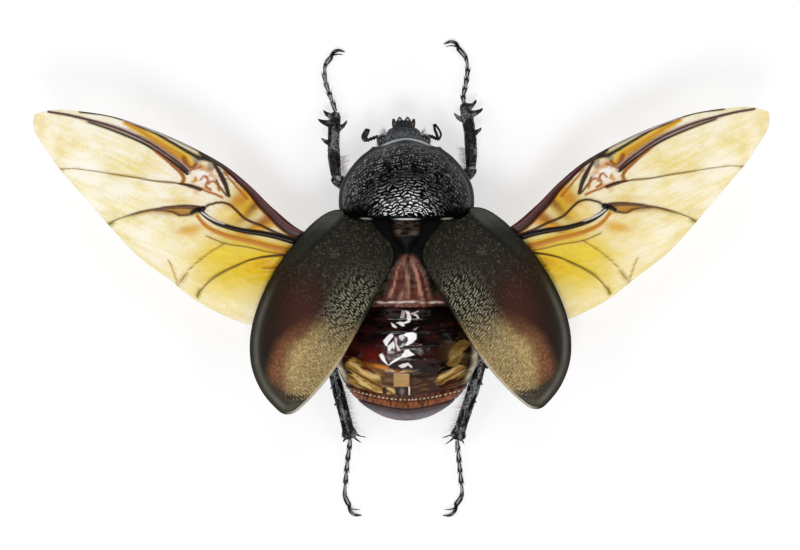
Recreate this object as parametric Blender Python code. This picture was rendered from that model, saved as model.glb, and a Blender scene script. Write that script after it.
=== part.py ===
"""A caucasus beetle, spread as a still, life-size museum model that rests on its six feet.

It is a hornless female with both wing cases swung open and both hind wings out. Everything below is
in millimetres in the beetle's own frame: x runs out from the body's midline to the beetle's left, y runs
back from head to tail, and z runs up from the floor. The last step turns millimetres into metres.
"""

import math

import bmesh
import bpy
import numpy as np

# Driving dimensions
MILLIMETRE = 0.001
MIDLINE = -0.98         # the body's midline, from the middle of the wing span
GAP = 0.3               # between two neighbouring pieces
CLEARANCE = 1.15 * GAP  # how far a cutter grows, as a grown corner falls a little short
REAR = 25.95            # the tip of the abdomen
HEAD_LEAN = 0.5         # how far the head sits to the left of the midline
SHIELD_HEIGHT = 20.0    # its crown above the floor
TRUNK_END = 4.8         # where the thorax gives way to the abdomen
RUMP_START = 20.9       # where the abdomen gives way to the pygidium
BELLY = 4.4             # the abdomen's underside above the floor
BACK = 15.4             # the abdomen's back above the floor
CASE_THICK = 0.8        # a wing case's wall
CASE_CROWN = 4.6        # how far a wing case bulges above its edge
CASE_MIDDLE = (15.5, 3.2)                       # its crown, along the case and out across it
MEMBRANE = 0.5          # a hind wing's thickness between its veins
WELD = 0.006            # points of a body nearer than this become one

SIDES = {"left": 1, "right": -1}
CASE_ROOT = {"left": (7.4, -7.9), "right": (7.8, -8.1)}
CASE_SWING = {"left": 23.3, "right": 26.3}      # degrees out from the midline
WING_REACH = {"left": 1.0, "right": 0.972}
WING_SHIFT = {"left": 0.0, "right": -0.5}


# Curves and numbers

def eased(place, stops):
    """A smooth value through (place, value) stops, which never overshoots them."""
    places, values = np.array(stops, float).T
    slopes = np.diff(values) / np.diff(places)
    turns = np.zeros(len(places))
    turns[0], turns[-1] = slopes[0], slopes[-1]
    for i in range(1, len(places) - 1):
        if slopes[i - 1] * slopes[i] > 0:
            turns[i] = 2 / (1 / slopes[i - 1] + 1 / slopes[i])
    at = np.clip(np.asarray(place, float), places[0], places[-1])
    i = np.clip(np.searchsorted(places, at) - 1, 0, len(places) - 2)
    width = places[i + 1] - places[i]
    t = (at - places[i]) / width
    rise = values[i] * (1 + 2 * t) * (1 - t) ** 2 + values[i + 1] * t ** 2 * (3 - 2 * t)
    return rise + width * (turns[i] * t * (1 - t) ** 2 - turns[i + 1] * t ** 2 * (1 - t))


def smooth_path(points, steps, closed=False):
    """Points at even distances along a smooth curve through points set by hand."""
    knots = np.array(points, float)
    if closed:
        knots = np.vstack([knots[-2:], knots, knots[:3]])
    lengths = np.linalg.norm(np.diff(knots, axis=0), axis=1)
    at = np.concatenate([[0], np.cumsum(lengths)])
    slopes = np.diff(knots, axis=0) / lengths[:, None]
    turns = np.vstack([slopes[:1], (slopes[1:] + slopes[:-1]) / 2, slopes[-1:]])
    first, last = (at[2], at[-3]) if closed else (at[0], at[-1])

    def point(distance):
        i = np.clip(np.searchsorted(at, distance, side="right") - 1, 0, len(lengths) - 1)
        t = ((distance - at[i]) / lengths[i])[:, None]
        width = lengths[i][:, None]
        near = knots[i] * (1 + 2 * t) * (1 - t) ** 2 + knots[i + 1] * t ** 2 * (3 - 2 * t)
        return near + width * (turns[i] * t * (1 - t) ** 2 - turns[i + 1] * t ** 2 * (1 - t))

    fine = point(np.linspace(first, last, 400))
    walked = np.concatenate([[0], np.cumsum(np.linalg.norm(np.diff(fine, axis=0), axis=1))])
    wanted = np.linspace(0, walked[-1], steps + 1)
    if closed:
        wanted = wanted[:-1]
    return np.stack([np.interp(wanted, walked, fine[:, k]) for k in range(fine.shape[1])], axis=1)


def mirrored(half):
    """A closed plan outline from its left half, which runs from the midline to the midline."""
    left = [tuple(point) for point in half]
    return left + [(-x, y) for x, y in left[-2:0:-1]]


# Meshes

def material(name, colour, roughness, metallic=0.0, alpha=1.0):
    """A plain finish for one kind of surface."""
    made = bpy.data.materials.new(name)
    made.use_nodes = True
    shader = made.node_tree.nodes["Principled BSDF"]
    shader.inputs["Base Color"].default_value = (*colour, 1)
    shader.inputs["Roughness"].default_value = roughness
    shader.inputs["Metallic"].default_value = metallic
    shader.inputs["Alpha"].default_value = alpha
    made.diffuse_color = (*colour, alpha)
    return made


def ring_faces(first, second):
    """Triangles between two rings of point numbers, or between a ring and a single point."""
    faces = []
    count = max(len(first), len(second))
    for i in range(count):
        j = (i + 1) % count
        if len(second) == 1:
            faces.append((first[i], first[j], second[0]))
        elif len(first) == 1:
            faces.append((first[0], second[j], second[i]))
        else:
            faces.append((first[i], first[j], second[j]))
            faces.append((first[i], second[j], second[i]))
    return faces


def rings_mesh(rings):
    """Points and triangles of a closed skin over a row of rings, whose ends are points or get one."""
    rings = [np.atleast_2d(ring) for ring in rings]
    if len(rings[0]) > 1:
        rings.insert(0, rings[0].mean(axis=0, keepdims=True))
    if len(rings[-1]) > 1:
        rings.append(rings[-1].mean(axis=0, keepdims=True))
    faces = []
    numbers = []
    count = 0
    for ring in rings:
        numbers.append(list(range(count, count + len(ring))))
        count += len(ring)
    for first, second in zip(numbers, numbers[1:]):
        faces += ring_faces(first, second)
    return np.vstack(rings), faces


def piece(name, mesh, finish, anchor=(0, 0, 0)):
    """A closed body from points and triangles in millimetres, with its origin on its root."""
    points, faces = mesh
    local = (np.asarray(points, float) - anchor) * MILLIMETRE
    data = bpy.data.meshes.new(name)
    data.from_pydata(local.tolist(), [], faces)
    build = bmesh.new()
    build.from_mesh(data)
    bmesh.ops.recalc_face_normals(build, faces=build.faces)
    build.to_mesh(data)
    build.free()
    data.materials.append(finish)
    body = bpy.data.objects.new(name, data)
    body.location = [value * MILLIMETRE for value in anchor]
    bpy.context.scene.collection.objects.link(body)
    bpy.context.view_layer.update()
    return body


def weld_slivers(mesh):
    """Merges the points that a Boolean leaves almost on one another, as far as the skin stays closed."""
    for reach in (WELD, WELD / 3):
        build = bmesh.new()
        build.from_mesh(mesh)
        bmesh.ops.remove_doubles(build, verts=build.verts, dist=reach * MILLIMETRE)
        bmesh.ops.dissolve_degenerate(build, edges=build.edges, dist=reach * MILLIMETRE)
        bmesh.ops.triangulate(build, faces=build.faces)
        closed = all(edge.is_manifold for edge in build.edges)
        if closed:
            build.to_mesh(mesh)
        build.free()
        if closed:
            return


def settle(body, change):
    """Gives a body the mesh that its Boolean makes, by the second solver where the first changes nothing."""
    for solver in ("MANIFOLD", "EXACT"):
        change.solver = solver
        bpy.context.view_layer.update()
        graph = bpy.context.evaluated_depsgraph_get()
        made = bpy.data.meshes.new_from_object(body.evaluated_get(graph))
        if made.polygons and len(made.vertices) != len(body.data.vertices):
            break
    weld_slivers(made)
    body.modifiers.clear()
    body.data = made


def keep_largest(body):
    """Leaves only the closed surface that holds the most."""
    build = bmesh.new()
    build.from_mesh(body.data)
    left = set(build.verts)
    shells = []
    while left:
        shell = {left.pop()}
        edge = set(shell)
        while edge:
            edge = {link.other_vert(vert) for vert in edge for link in vert.link_edges} - shell
            shell |= edge
        left -= shell
        shells.append(shell)

    def volume(shell):
        faces = {face for vert in shell for face in vert.link_faces}
        total = 0.0
        for face in faces:
            corners = [vert.co for vert in face.verts]
            for near, far in zip(corners[1:], corners[2:]):
                total += corners[0].dot(near.cross(far))
        return total

    best = max(shells, key=volume)
    loose = [vert for vert in build.verts if vert not in best]
    bmesh.ops.delete(build, geom=loose, context="VERTS")
    build.to_mesh(body.data)
    build.free()
    return body


def helper(body):
    """Marks a body that only shapes another one."""
    body.hide_render = True
    body.display_type = "WIRE"
    return body


def fused(body, parts):
    """Joins parts to a body in one union."""
    group = bpy.data.collections.new(body.name + "_parts")
    bpy.context.scene.collection.children.link(group)
    for part in parts:
        helper(part)
        bpy.context.scene.collection.objects.unlink(part)
        group.objects.link(part)
    join = body.modifiers.new("join", "BOOLEAN")
    join.operation = "UNION"
    join.operand_type = "COLLECTION"
    join.collection = group
    settle(body, join)
    for part in parts:
        bpy.data.objects.remove(part)
    bpy.data.collections.remove(group)
    return keep_largest(body)


def clear_of(body, *neighbours):
    """Cuts a body back by the gap from each neighbour, so that the two meet face to face."""
    for neighbour in neighbours:
        cutter = helper(neighbour.copy())
        bpy.context.scene.collection.objects.link(cutter)
        grow = cutter.modifiers.new("grow", "DISPLACE")
        grow.mid_level = 0
        grow.strength = CLEARANCE * MILLIMETRE
        cut = body.modifiers.new("cut", "BOOLEAN")
        cut.operation = "DIFFERENCE"
        cut.object = cutter
        settle(body, cut)
        bpy.data.objects.remove(cutter)
    return keep_largest(body)


# Basic forms

def dome(outline, centre, rings, height):
    """Rings from a plan outline in to its centre, each lifted by height(x, y, share of the way out)."""
    outline = np.array(outline, float)
    made = []
    for step in range(rings + 1):
        out = math.cos(math.pi / 2 * step / rings)
        plan = np.array(centre) + out * (outline - centre)
        if step == rings:
            plan = plan[:1]
        z = np.broadcast_to(height(plan[:, 0], plan[:, 1], out), len(plan))
        made.append(np.column_stack([plan, z]))
    return made


def pebble(outline, centre, rings, top, bottom):
    """A closed body with one plan outline, a domed top and a domed underside."""
    upper = dome(outline, centre, rings, top)
    lower = dome(outline, centre, rings, bottom)
    return rings_mesh(lower[::-1] + upper[1:])


def tube(path, wide, high, sides=8, floor=None):
    """A closed tube along a path, wide across it in plan and high in z, flat where it meets the floor."""
    path = np.array(path, float)
    wide = np.broadcast_to(wide, len(path))
    high = np.broadcast_to(high, len(path))
    along = np.gradient(path, axis=0)
    rings = []
    for point, heading, w, h in zip(path, along, wide, high):
        heading = heading / np.linalg.norm(heading)
        across = np.cross(heading, (0, 0, 1))
        across /= np.linalg.norm(across)
        up = np.cross(across, heading)
        turn = np.arange(sides) * 2 * math.pi / sides + math.pi / sides
        ring = point + np.outer(np.cos(turn) * w, across) + np.outer(np.sin(turn) * h, up)
        rings.append(ring)
    points, faces = rings_mesh(rings)
    if floor is not None:
        points[:, 2] = np.maximum(points[:, 2], floor)
    return points, faces


def spike(root, tip, thick, bend=0.0, sides=6):
    """A tapered, slightly hooked spine from a root sunk in its node to a free tip."""
    root, tip = np.array(root, float), np.array(tip, float)
    along = tip - root
    across = np.cross(along, (0, 0, 1))
    across /= np.linalg.norm(across)
    share = np.array([0, 0.45, 0.8, 1.0])
    path = root + np.outer(share, along) + np.outer(bend * 4 * share * (1 - share), across)
    width = thick * np.array([1.0, 0.72, 0.42, 0.16])
    return tube(path, width, width, sides)


def sided(points, side):
    """The same points for the beetle's left, or mirrored for its right."""
    points = np.array(points, float)
    return points * ([side, 1, 1] if points.shape[-1] == 3 else [side, 1])


# Head

SHIELD_HALF = ((0, -25.4), (2.6, -24.9), (5.3, -23.9), (6.4, -23.4), (8.3, -22.0), (10.4, -19.5),
               (11.8, -16.9), (12.2, -14.3), (11.9, -12.2), (10.7, -11.1), (7.2, -10.6), (3.4, -10.5),
               (0, -10.5))
HEAD_HALF = ((0, -28.6), (0.72, -29.25), (1.3, -28.5), (1.5, -27.7), (2.1, -27.3), (2.9, -26.6),
             (3.2, -25.8), (3.9, -25.2), (4.3, -24.2), (4.2, -22.6), (2.6, -21.6), (0, -21.4))


def build_head(finish, shield):
    """The head, from the forked lip back to the neck, with a low bump in place of a horn."""
    outline = smooth_path(mirrored(HEAD_HALF), 36, closed=True) + (HEAD_LEAN, 0)

    def brim(y):
        return eased(y, ((-29.2, 7.6), (-27, 7.9), (-24, 8.0), (-21.4, 8.4)))

    def top(x, y, out):
        rise = eased(y, ((-29.2, 0.3), (-27.5, 1.2), (-25, 3.0), (-21.4, 3.2)))
        bump = 0.7 * np.exp(-((y + 26.6) ** 2 + (x - HEAD_LEAN) ** 2) / 0.8)
        return brim(y) + rise * (1 - out ** 2.4) ** 0.7 + bump

    def bottom(x, y, out):
        drop = eased(y, ((-29.2, 0.6), (-27.5, 1.0), (-25, 3.2), (-21.4, 3.4)))
        return brim(y) - 0.3 - drop * (1 - out ** 2.4) ** 0.7

    body = piece("head", pebble(outline, (HEAD_LEAN, -25.0), 6, top, bottom), finish, (0, -23, 8))
    return clear_of(body, shield)


def build_mouth(finish, head):
    """The two lobes of the jaws that show beside the lip."""
    for label, side in SIDES.items():
        path = sided([(1.6, -26.4, 6.7), (1.75, -27.4, 6.8), (1.8, -28.2, 6.8), (1.65, -29.0, 6.9)], side)
        path += (HEAD_LEAN, 0, 0)
        jaw = piece("mandible_" + label, tube(path, (0.5, 0.6, 0.55, 0.3), (0.45, 0.5, 0.45, 0.3)),
                    finish, path[0])
        clear_of(jaw, head)


def build_eyes(finish, head, shield):
    """The two eyes, bulging from the sides of the head."""
    made = {}
    for label, side in SIDES.items():
        centre = np.array([3.75 * side + HEAD_LEAN, -24.9, 7.5])
        path = centre + np.outer(np.cos(np.linspace(0.15, math.pi - 0.15, 7)), (0, 1.35, 0))
        swell = np.sin(np.linspace(0.15, math.pi - 0.15, 7))
        eye = piece("eye_" + label, tube(path, 1.15 * swell, 1.2 * swell, 10), finish, centre)
        made[label] = clear_of(eye, shield, head)
    return made


def build_feelers(finish, head, eyes):
    """The feelers: a short stalk and a club of three leaves, folded on the left and open on the right."""
    stalk = {"left": [(3.6, -25.6, 6.2), (5.3, -25.7, 6.5), (6.2, -25.4, 6.7), (7.3, -25.0, 6.8)],
             "right": [(3.4, -25.8, 6.2), (4.4, -25.9, 6.5), (5.4, -25.6, 6.7), (6.1, -25.5, 6.8)]}
    club = {"left": [(7.5, -24.8, 6.8), (7.8, -25.6, 6.9), (7.5, -26.5, 6.9), (6.9, -27.1, 6.9)],
            "right": [(6.3, -25.3, 6.8), (6.2, -26.2, 6.9), (5.7, -27.1, 6.9), (5.0, -27.9, 6.9)]}
    spread = {"left": 0.0, "right": 0.34}
    for label, side in SIDES.items():
        base = sided(stalk[label], side)
        feeler = piece("antenna_" + label, tube(base, (0.42, 0.38, 0.3, 0.36), (0.42, 0.38, 0.3, 0.36)),
                       finish, base[0])
        leaves = []
        for leaf in (-1, 0, 1):
            path = sided(club[label], side)
            path[:, 0] += leaf * (0.22 + spread[label]) * side * np.array([0.2, 1, 1, 0.8])
            path[:, 2] += leaf * 0.28
            leaves.append(piece("leaf", tube(path, (0.44, 0.5, 0.5, 0.32), 0.3), finish))
        fused(feeler, leaves)
        clear_of(feeler, head, eyes[label])


# Trunk

def build_shield(finish):
    """The pronotum: a high dome, steep in front and at its sides, over the bowl of the forebody."""
    outline = smooth_path(mirrored(SHIELD_HALF), 40, closed=True)

    def brim(y):
        return eased(y, ((-25.3, 9.4), (-20, 9.4), (-14.5, 9.8), (-11.5, 12.6), (-10.5, 14.8)))

    def top(x, y, out):
        return brim(y) + (SHIELD_HEIGHT - brim(y)) * (1 - out ** 2.3) ** 0.62

    def bottom(x, y, out):
        return brim(y) - 0.4 - (brim(y) - 0.4 - 4.0) * (1 - out ** 3.0) ** 0.5

    return piece("pronotum", pebble(outline, (0, -15.6), 7, top, bottom), finish, (0, -15.6, 10))


def trunk_ring(y, half, top, brim, bottom, count, power=2.0):
    """One upright ring across the body, arched above its widest line and flatter below it."""
    turn = np.arange(count) * 2 * math.pi / count
    x = half * np.sign(np.cos(turn)) * np.abs(np.cos(turn)) ** (2 / power)
    lift = np.sign(np.sin(turn)) * np.abs(np.sin(turn)) ** (2 / power)
    z = np.where(lift > 0, brim + (top - brim) * lift, brim + (brim - bottom) * lift)
    return np.column_stack([x, np.full(count, y), z])


def build_thorax(finish, shield):
    """The middle and hind thorax, which carries the wings and the last four legs."""
    rings = []
    for y in (-14.0, -12.0, -10.0, -7.5, -4.5, -1.5, 1.5, TRUNK_END):
        half = eased(y, ((-14, 7.5), (-10, 9.6), (-6, 11.0), (0, 12.2), (TRUNK_END, 12.7)))
        top = eased(y, ((-14, 13.0), (-10, 15.6), (-6, 16.0), (0, 15.4), (TRUNK_END, 15.0)))
        bottom = eased(y, ((-14, 5.0), (-9, 3.8), (-2, 3.4), (TRUNK_END, 3.6)))
        rings.append(trunk_ring(y, half, top, 9.6, bottom, 24, 2.2))
    body = piece("thorax", rings_mesh(rings), finish, (0, -4, 10))
    return clear_of(body, shield)


def build_scutellum(finish, shield, thorax):
    """The small three-cornered plate behind the pronotum, between the wing cases."""
    half = ((0, -10.6), (2.9, -10.4), (3.0, -9.2), (2.5, -7.2), (1.3, -5.2), (0, -3.9))
    outline = smooth_path(mirrored(half), 20, closed=True)

    def top(x, y, out):
        return 15.6 + eased(y, ((-10.6, 1.9), (-7, 1.7), (-3.9, 0.7))) * (1 - out ** 2.6) ** 0.6

    def bottom(x, y, out):
        return 15.3 - 1.4 * (1 - out ** 2.6) ** 0.6

    body = piece("scutellum", pebble(outline, (0, -7.6), 4, top, bottom), finish, (0, -7.6, 15.6))
    return clear_of(body, shield, thorax)


def abdomen_size(y):
    """The abdomen's half width, back, widest line and belly at a place along it."""
    half = eased(y, ((4.8, 12.6), (9, 13.2), (14.3, 13.2), (17.6, 12.0), (20.1, 10.3), (22.3, 8.3),
                     (24.2, 5.9), (25.3, 3.3), (REAR, 0.05)))
    top = eased(y, ((4.8, 14.8), (9, BACK), (14, 14.6), (18, 12.9), (21, 11.0), (24, 8.4), (REAR, 6.6)))
    brim = eased(y, ((4.8, 9.4), (14, 8.8), (20, 7.6), (REAR, 6.4)))
    belly = eased(y, ((4.8, 4.2), (12, BELLY), (19, 4.5), (23, 5.2), (REAR, 6.2)))
    return half, top, brim, belly


def body_ring(y, inset=0.0):
    """One ring of the abdomen, drawn in a little where two of its plates meet."""
    half, top, brim, belly = abdomen_size(y)
    return trunk_ring(y, half - inset, top - inset, brim, belly + inset, 24, 2.1)


def build_abdomen(finish):
    """The abdomen up to the pygidium, in six plates with a shallow step at each joint."""
    rings = [body_ring(TRUNK_END + GAP)]
    joints = (7.4, 9.8, 12.4, 15.1, 18.0)
    for joint in joints:
        rings.append(body_ring(joint - 0.25))
        rings.append(body_ring(joint, 0.28))
        rings.append(body_ring(joint + 0.45))
    rings.append(body_ring(RUMP_START))
    return piece("abdomen", rings_mesh(rings), finish, (0, TRUNK_END, 10))


def build_pygidium(finish):
    """The last plate, which rounds off the abdomen."""
    rings = [body_ring(RUMP_START + GAP)]
    for y in (22.3, 23.6, 24.7, 25.35, 25.75):
        rings.append(body_ring(y))
    rings.append(np.array([[0, REAR, 6.4]]))
    return piece("pygidium", rings_mesh(rings), finish, (0, RUMP_START, 8))


# Wing cases

CASE_OUTLINE = ((-2.4, 5.4), (-1.2, 7.4), (2.0, 9.4), (5.5, 10.6), (9.3, 11.7), (14.2, 12.5),
                (18.7, 12.6), (22.6, 12.2), (26.2, 11.2), (29.9, 9.2), (33.0, 6.0), (34.8, 2.5),
                (35.2, 0.7), (34.5, -0.7), (32.2, -2.0), (29.0, -3.2), (25.5, -4.2), (20.1, -5.2),
                (14.2, -5.8), (8.0, -6.3), (3.6, -6.6), (1.2, -6.2), (-0.4, -4.8), (-2.0, -2.5), (-2.8, 1.2))


def case_edge(s, t):
    """The height of a wing case's edge, s along the case and t out across it."""
    along = eased(s, ((-2.6, 14.2), (2, 15.6), (8, 16.6), (18, 16.2), (28, 14.6), (34.6, 12.6)))
    return along - 0.2 * t * eased(s, ((-2.6, 0.5), (6, 1.0), (26, 1.0), (34.6, 0.4)))


def build_case(label, finish, neighbours):
    """One wing case: a long domed shell, hinged at the shoulder and swung open."""
    side = SIDES[label]
    swing = math.radians(CASE_SWING[label])
    root = np.array(CASE_ROOT[label])
    outline = smooth_path(CASE_OUTLINE, 40, closed=True)
    middle = np.array(CASE_MIDDLE)
    upper = dome(outline, middle, 6,
                 lambda s, t, out: case_edge(s, t) + CASE_CROWN * (1 - out ** 2.6) ** 0.75)
    lower = [ring.copy() for ring in upper]
    for step, ring in enumerate(lower):
        inset, drop = (0.012, 0.55) if step == 0 else (0.045, 1.0)
        ring[:, :2] = middle + (ring[:, :2] - middle) * (1 - inset)
        ring[:, 2] -= CASE_THICK * drop
    points, faces = rings_mesh(lower[::-1] + upper)
    s, t = points[:, 0], points[:, 1]
    x = root[0] + s * math.sin(swing) + t * math.cos(swing)
    y = root[1] + s * math.cos(swing) - t * math.sin(swing)
    points = sided(np.column_stack([x, y, points[:, 2]]), side)
    case = piece("elytron_" + label, (points, faces), finish, (root[0] * side, root[1], 15))
    return clear_of(case, *neighbours)


# Hind wings

LEADING = ((9.8, -6.6), (18.4, -8.5), (23.8, -12.6), (28.1, -16.8), (32.3, -20.2), (36.8, -22.8),
           (42.2, -25.4), (47.6, -27.5), (52.5, -29.0), (58.4, -29.9), (63.7, -30.1), (66.4, -29.3))
RADIUS = ((9.9, -5.8), (18.9, -7.1), (24.5, -10.4), (28.5, -13.8), (32.5, -17.0), (36.2, -19.0),
          (40.3, -20.6), (45.9, -23.7), (51.2, -26.0), (58.4, -28.4), (66.6, -28.6))
MEDIA = ((10.0, -5.3), (19.0, -6.6), (28.3, -10.0), (31.9, -13.3), (36.6, -15.9), (39.8, -16.9),
         (49.4, -18.3), (61.9, -19.6))
CUBITUS = ((10.1, -4.7), (19.0, -6.2), (26.2, -7.9), (32.4, -9.2), (37.3, -12.3), (41.4, -12.6),
           (46.7, -12.1), (53.4, -9.8))
ANAL = ((10.4, -2.6), (15.8, -4.0), (21.2, -4.1), (27.1, -3.6), (32.4, -1.6), (36.4, 1.1), (37.8, 3.8))
TRAILING = ((10.9, 1.6), (14.0, 4.8), (18.5, 7.6), (24.0, 8.8))
MARGIN = ((66.4, -29.3), (66.5, -27.0), (64.1, -22.7), (61.9, -19.6), (58.4, -15.6), (53.4, -9.8),
          (48.5, -4.5), (42.3, 0.3), (37.8, 3.8), (33.3, 6.3), (28.3, 8.2), (24.0, 8.8))
VEINS = (LEADING, RADIUS, MEDIA, CUBITUS, ANAL, TRAILING)
VEIN_HEIGHT = (0.5, 0.45, 0.25, 0.6, 0.4, 0.0)
WING_STEPS = 18


def wing_height(x, y):
    """The hind wing's height: its front edge and its tip stand higher than its root."""
    return 12.9 - 0.12 * (y + 8) + 0.04 * np.maximum(0, x - 18)


def wing_columns():
    """The wing in columns from root to margin: every vein, its two flanks, and the panels between."""
    rails = [smooth_path(vein, WING_STEPS) for vein in VEINS]
    margin = smooth_path(MARGIN, 200)
    ends = [int(np.argmin(np.linalg.norm(margin - rail[-1], axis=1))) for rail in rails]
    ends[0], ends[-1] = 0, 200
    share = np.linspace(0, 1, WING_STEPS + 1)[:, None]
    columns, heights = [], []
    for i in range(len(rails)):
        columns.append(rails[i])
        heights.append(VEIN_HEIGHT[i])
        if i + 1 == len(rails):
            break
        near, far = rails[i], rails[i + 1]
        apart = np.maximum(np.linalg.norm(far - near, axis=1), 0.01)[:, None]
        flank = np.minimum(0.28, 0.45 / apart)
        for place in (flank, 0.5, 1 - flank):
            column = near + (far - near) * place
            middle = place if np.isscalar(place) else float(place[-1, 0])
            where = ends[i] + (ends[i + 1] - ends[i]) * middle
            target = [np.interp(where, np.arange(201), margin[:, k]) for k in range(2)]
            columns.append(column + share ** 4 * (np.array(target) - column[-1]))
            heights.append(0.0)
    return np.array(columns), np.array(heights)


def build_wing(label, finish, neighbours):
    """One hind wing: a thin membrane whose main veins stand up as ridges of its own surface."""
    side = SIDES[label]
    columns, heights = wing_columns()
    rows = columns.shape[1]
    columns = columns * (WING_REACH[label], 1) + (0, WING_SHIFT[label])
    z = wing_height(columns[..., 0], columns[..., 1])
    fade = eased(np.linspace(0, 1, rows), ((0, 1), (0.6, 0.9), (1, 0.25)))
    ridge = heights[:, None] * fade
    upper = np.dstack([columns, z + MEMBRANE / 2 + ridge])
    lower = np.dstack([columns, z - MEMBRANE / 2])
    count = len(columns)
    number = np.arange(count * rows).reshape(count, rows)
    faces = []
    for i in range(count - 1):
        for j in range(rows - 1):
            a, b = number[i, j], number[i + 1, j]
            c, d = number[i + 1, j + 1], number[i, j + 1]
            faces += [(a, b, c), (a, c, d)]
    under = [(c + count * rows, b + count * rows, a + count * rows) for a, b, c in faces]
    border = (list(number[:, 0]) + list(number[-1, 1:]) + list(number[-2::-1, -1])
              + list(number[0, -2:0:-1]))
    rim = []
    for a, b in zip(border, border[1:] + border[:1]):
        rim += [(b, a, a + count * rows), (b, a + count * rows, b + count * rows)]
    points = np.vstack([upper.reshape(-1, 3), lower.reshape(-1, 3)])
    points = sided(points, side)
    faces = [tuple(int(n) for n in face) for face in faces + under + rim]
    wing = piece("hindwing_" + label, (points, faces), finish, (10 * side, -4, 13))
    return clear_of(wing, *neighbours)


# Legs

HIPS = {"fore": (4.8, -14.4, 4.4), "mid": (5.4, -3.6, 4.0), "hind": (4.6, 3.4, 4.0)}
KNEES = {"fore_left": (12.5, -17.8, 6.0), "fore_right": (11.6, -19.4, 6.0),
         "mid_left": (14.8, 1.2, 6.2), "mid_right": (14.8, 1.2, 6.2),
         "hind_left": (13.5, 15.7, 5.8), "hind_right": (13.9, 14.4, 5.8)}
ANKLES = {"fore_left": (12.8, -30.2, 2.2), "fore_right": (10.5, -31.8, 2.2),
          "mid_left": (19.4, 9.2, 2.1), "mid_right": (19.4, 9.2, 2.1),
          "hind_left": (10.2, 28.9, 1.9), "hind_right": (9.2, 29.1, 1.9)}
# The ends of a foot's joints, the last of them its claws' root
TOES = {"fore_left": ((13.4, -32.1), (14.1, -33.9), (14.7, -35.6), (15.0, -37.4), (14.7, -39.1),
                      (13.6, -40.6)),
        "fore_right": ((10.3, -33.3), (10.7, -34.8), (11.0, -36.5), (11.2, -38.2), (10.8, -40.4),
                       (9.3, -42.2)),
        "mid": ((19.8, 11.0), (20.3, 12.6), (20.8, 14.1), (21.1, 15.6), (21.2, 17.2), (20.9, 18.6)),
        "hind_left": ((10.4, 30.8), (10.7, 32.9), (10.9, 35.0), (11.1, 37.1), (11.2, 39.6), (10.3, 41.5)),
        "hind_right": ((9.4, 31.2), (9.6, 33.2), (9.8, 35.2), (10.0, 37.2), (10.1, 39.5), (8.9, 41.4))}
# The bend of a foot's outer claw, and its tip
CLAWS = {"fore_left": ((13.2, -41.4), (12.35, -41.7), (11.2, -41.4)),
         "fore_right": ((9.0, -43.0), (8.1, -43.3), (6.8, -42.8)),
         "mid": ((20.5, 19.5), (19.8, 19.8), (18.8, 19.5)),
         "hind_left": ((10.1, 42.5), (9.4, 43.0), (8.1, 43.1)),
         "hind_right": ((8.7, 42.5), (7.9, 43.1), (6.6, 43.1))}
BOW = {"fore": 0.55, "mid": 0.3, "hind": 0.0}
THIGH_WIDTH = {"fore": 1.95, "mid": 1.8, "hind": 2.1}
SHIN_WIDTH = {"fore": ((0, 1.0), (0.15, 1.2), (0.35, 1.38), (0.6, 1.32), (0.85, 1.2), (1, 0.8)),
              "mid": ((0, 0.75), (0.3, 0.95), (0.7, 1.15), (0.93, 1.3), (1, 1.1)),
              "hind": ((0, 0.9), (0.12, 1.1), (0.4, 1.25), (0.7, 1.32), (0.93, 1.42), (1, 1.1))}
# Each spine: the shin's share at its root and at its tip, how far out its tip stands, and its thickness
SPINES = {"fore": ((0.6, 0.625, 3.05, 0.85), (0.89, 0.92, 3.4, 0.7), (0.975, 1.04, 2.2, 0.55),
                   (0.8, 0.87, -1.95, 0.75)),
          "mid": ((0.32, 0.36, 1.6, 0.5), (0.54, 0.58, 1.6, 0.5), (0.95, 1.01, 1.5, 0.55),
                  (0.96, 1.06, -2.4, 0.45), (0.97, 1.08, -1.6, 0.4)),
          "hind": ((0.24, 0.3, 1.65, 0.6), (0.47, 0.53, 1.65, 0.6), (0.92, 1.02, 1.55, 0.6),
                   (0.92, 1.045, -2.95, 0.5), (0.95, 1.1, -2.35, 0.45))}
ANKLE_SHARE = 0.2                               # where the first joint starts, clear of the shin
JOINT_SHARES = (0.08, 0.8)                      # where every other joint starts, and where it is widest
# A foot's half width: where each joint starts, where it is widest, and along the last joint to the claws
JOINT_START, JOINT_END = 0.56, 0.8
LAST_JOINT = (0.54, 0.62, 0.72, 0.62)
FOOT_DROP = (1.6, 1.25, 1.0, 0.8, 0.52, 0.42)   # the height of its axis at the end of each joint
FOOT_FLATNESS = 0.8                             # its height over its width


def of_leg(table, pair, label):
    """A leg's own entry, or the one that its pair shares."""
    return table.get(f"{pair}_{label}", table.get(pair))


def shin_frame(pair, label):
    """A shin's root, its length, and its directions along and out, all on the beetle's left."""
    knee = np.array(KNEES[pair + "_" + label])
    ankle = np.array(ANKLES[pair + "_" + label])
    along = ankle - knee
    length = np.linalg.norm(along)
    along /= length
    out = np.cross(along, (0, 0, 1))
    out /= np.linalg.norm(out)
    return knee, length, along, out if out[0] > 0 else -out


def build_thigh(pair, label, finish, neighbours):
    """A hip that lies against the belly, and the thigh that grows from it out to the knee."""
    side = SIDES[label]
    hip = np.array(HIPS[pair])
    knee = np.array(KNEES[pair + "_" + label])
    inner = hip - (3.2, 0.2, 0.5)
    share = np.array([0.12, 0.32, 0.52, 0.72, 0.9, 1.04, 1.13])
    thigh = hip + np.outer(share, knee - hip)
    path = sided(np.vstack([inner, (inner + hip) / 2, hip, thigh]), side)
    swell = np.array([0.55, 0.9, 0.7, 0.7, 0.92, 1.0, 1.0, 0.94, 0.76, 0.4])
    width = THIGH_WIDTH[pair] * swell
    body = piece(f"{pair}leg_{label}_femur", tube(path, width, width * 0.75, 10), finish, path[2])
    return clear_of(body, *neighbours)


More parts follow.
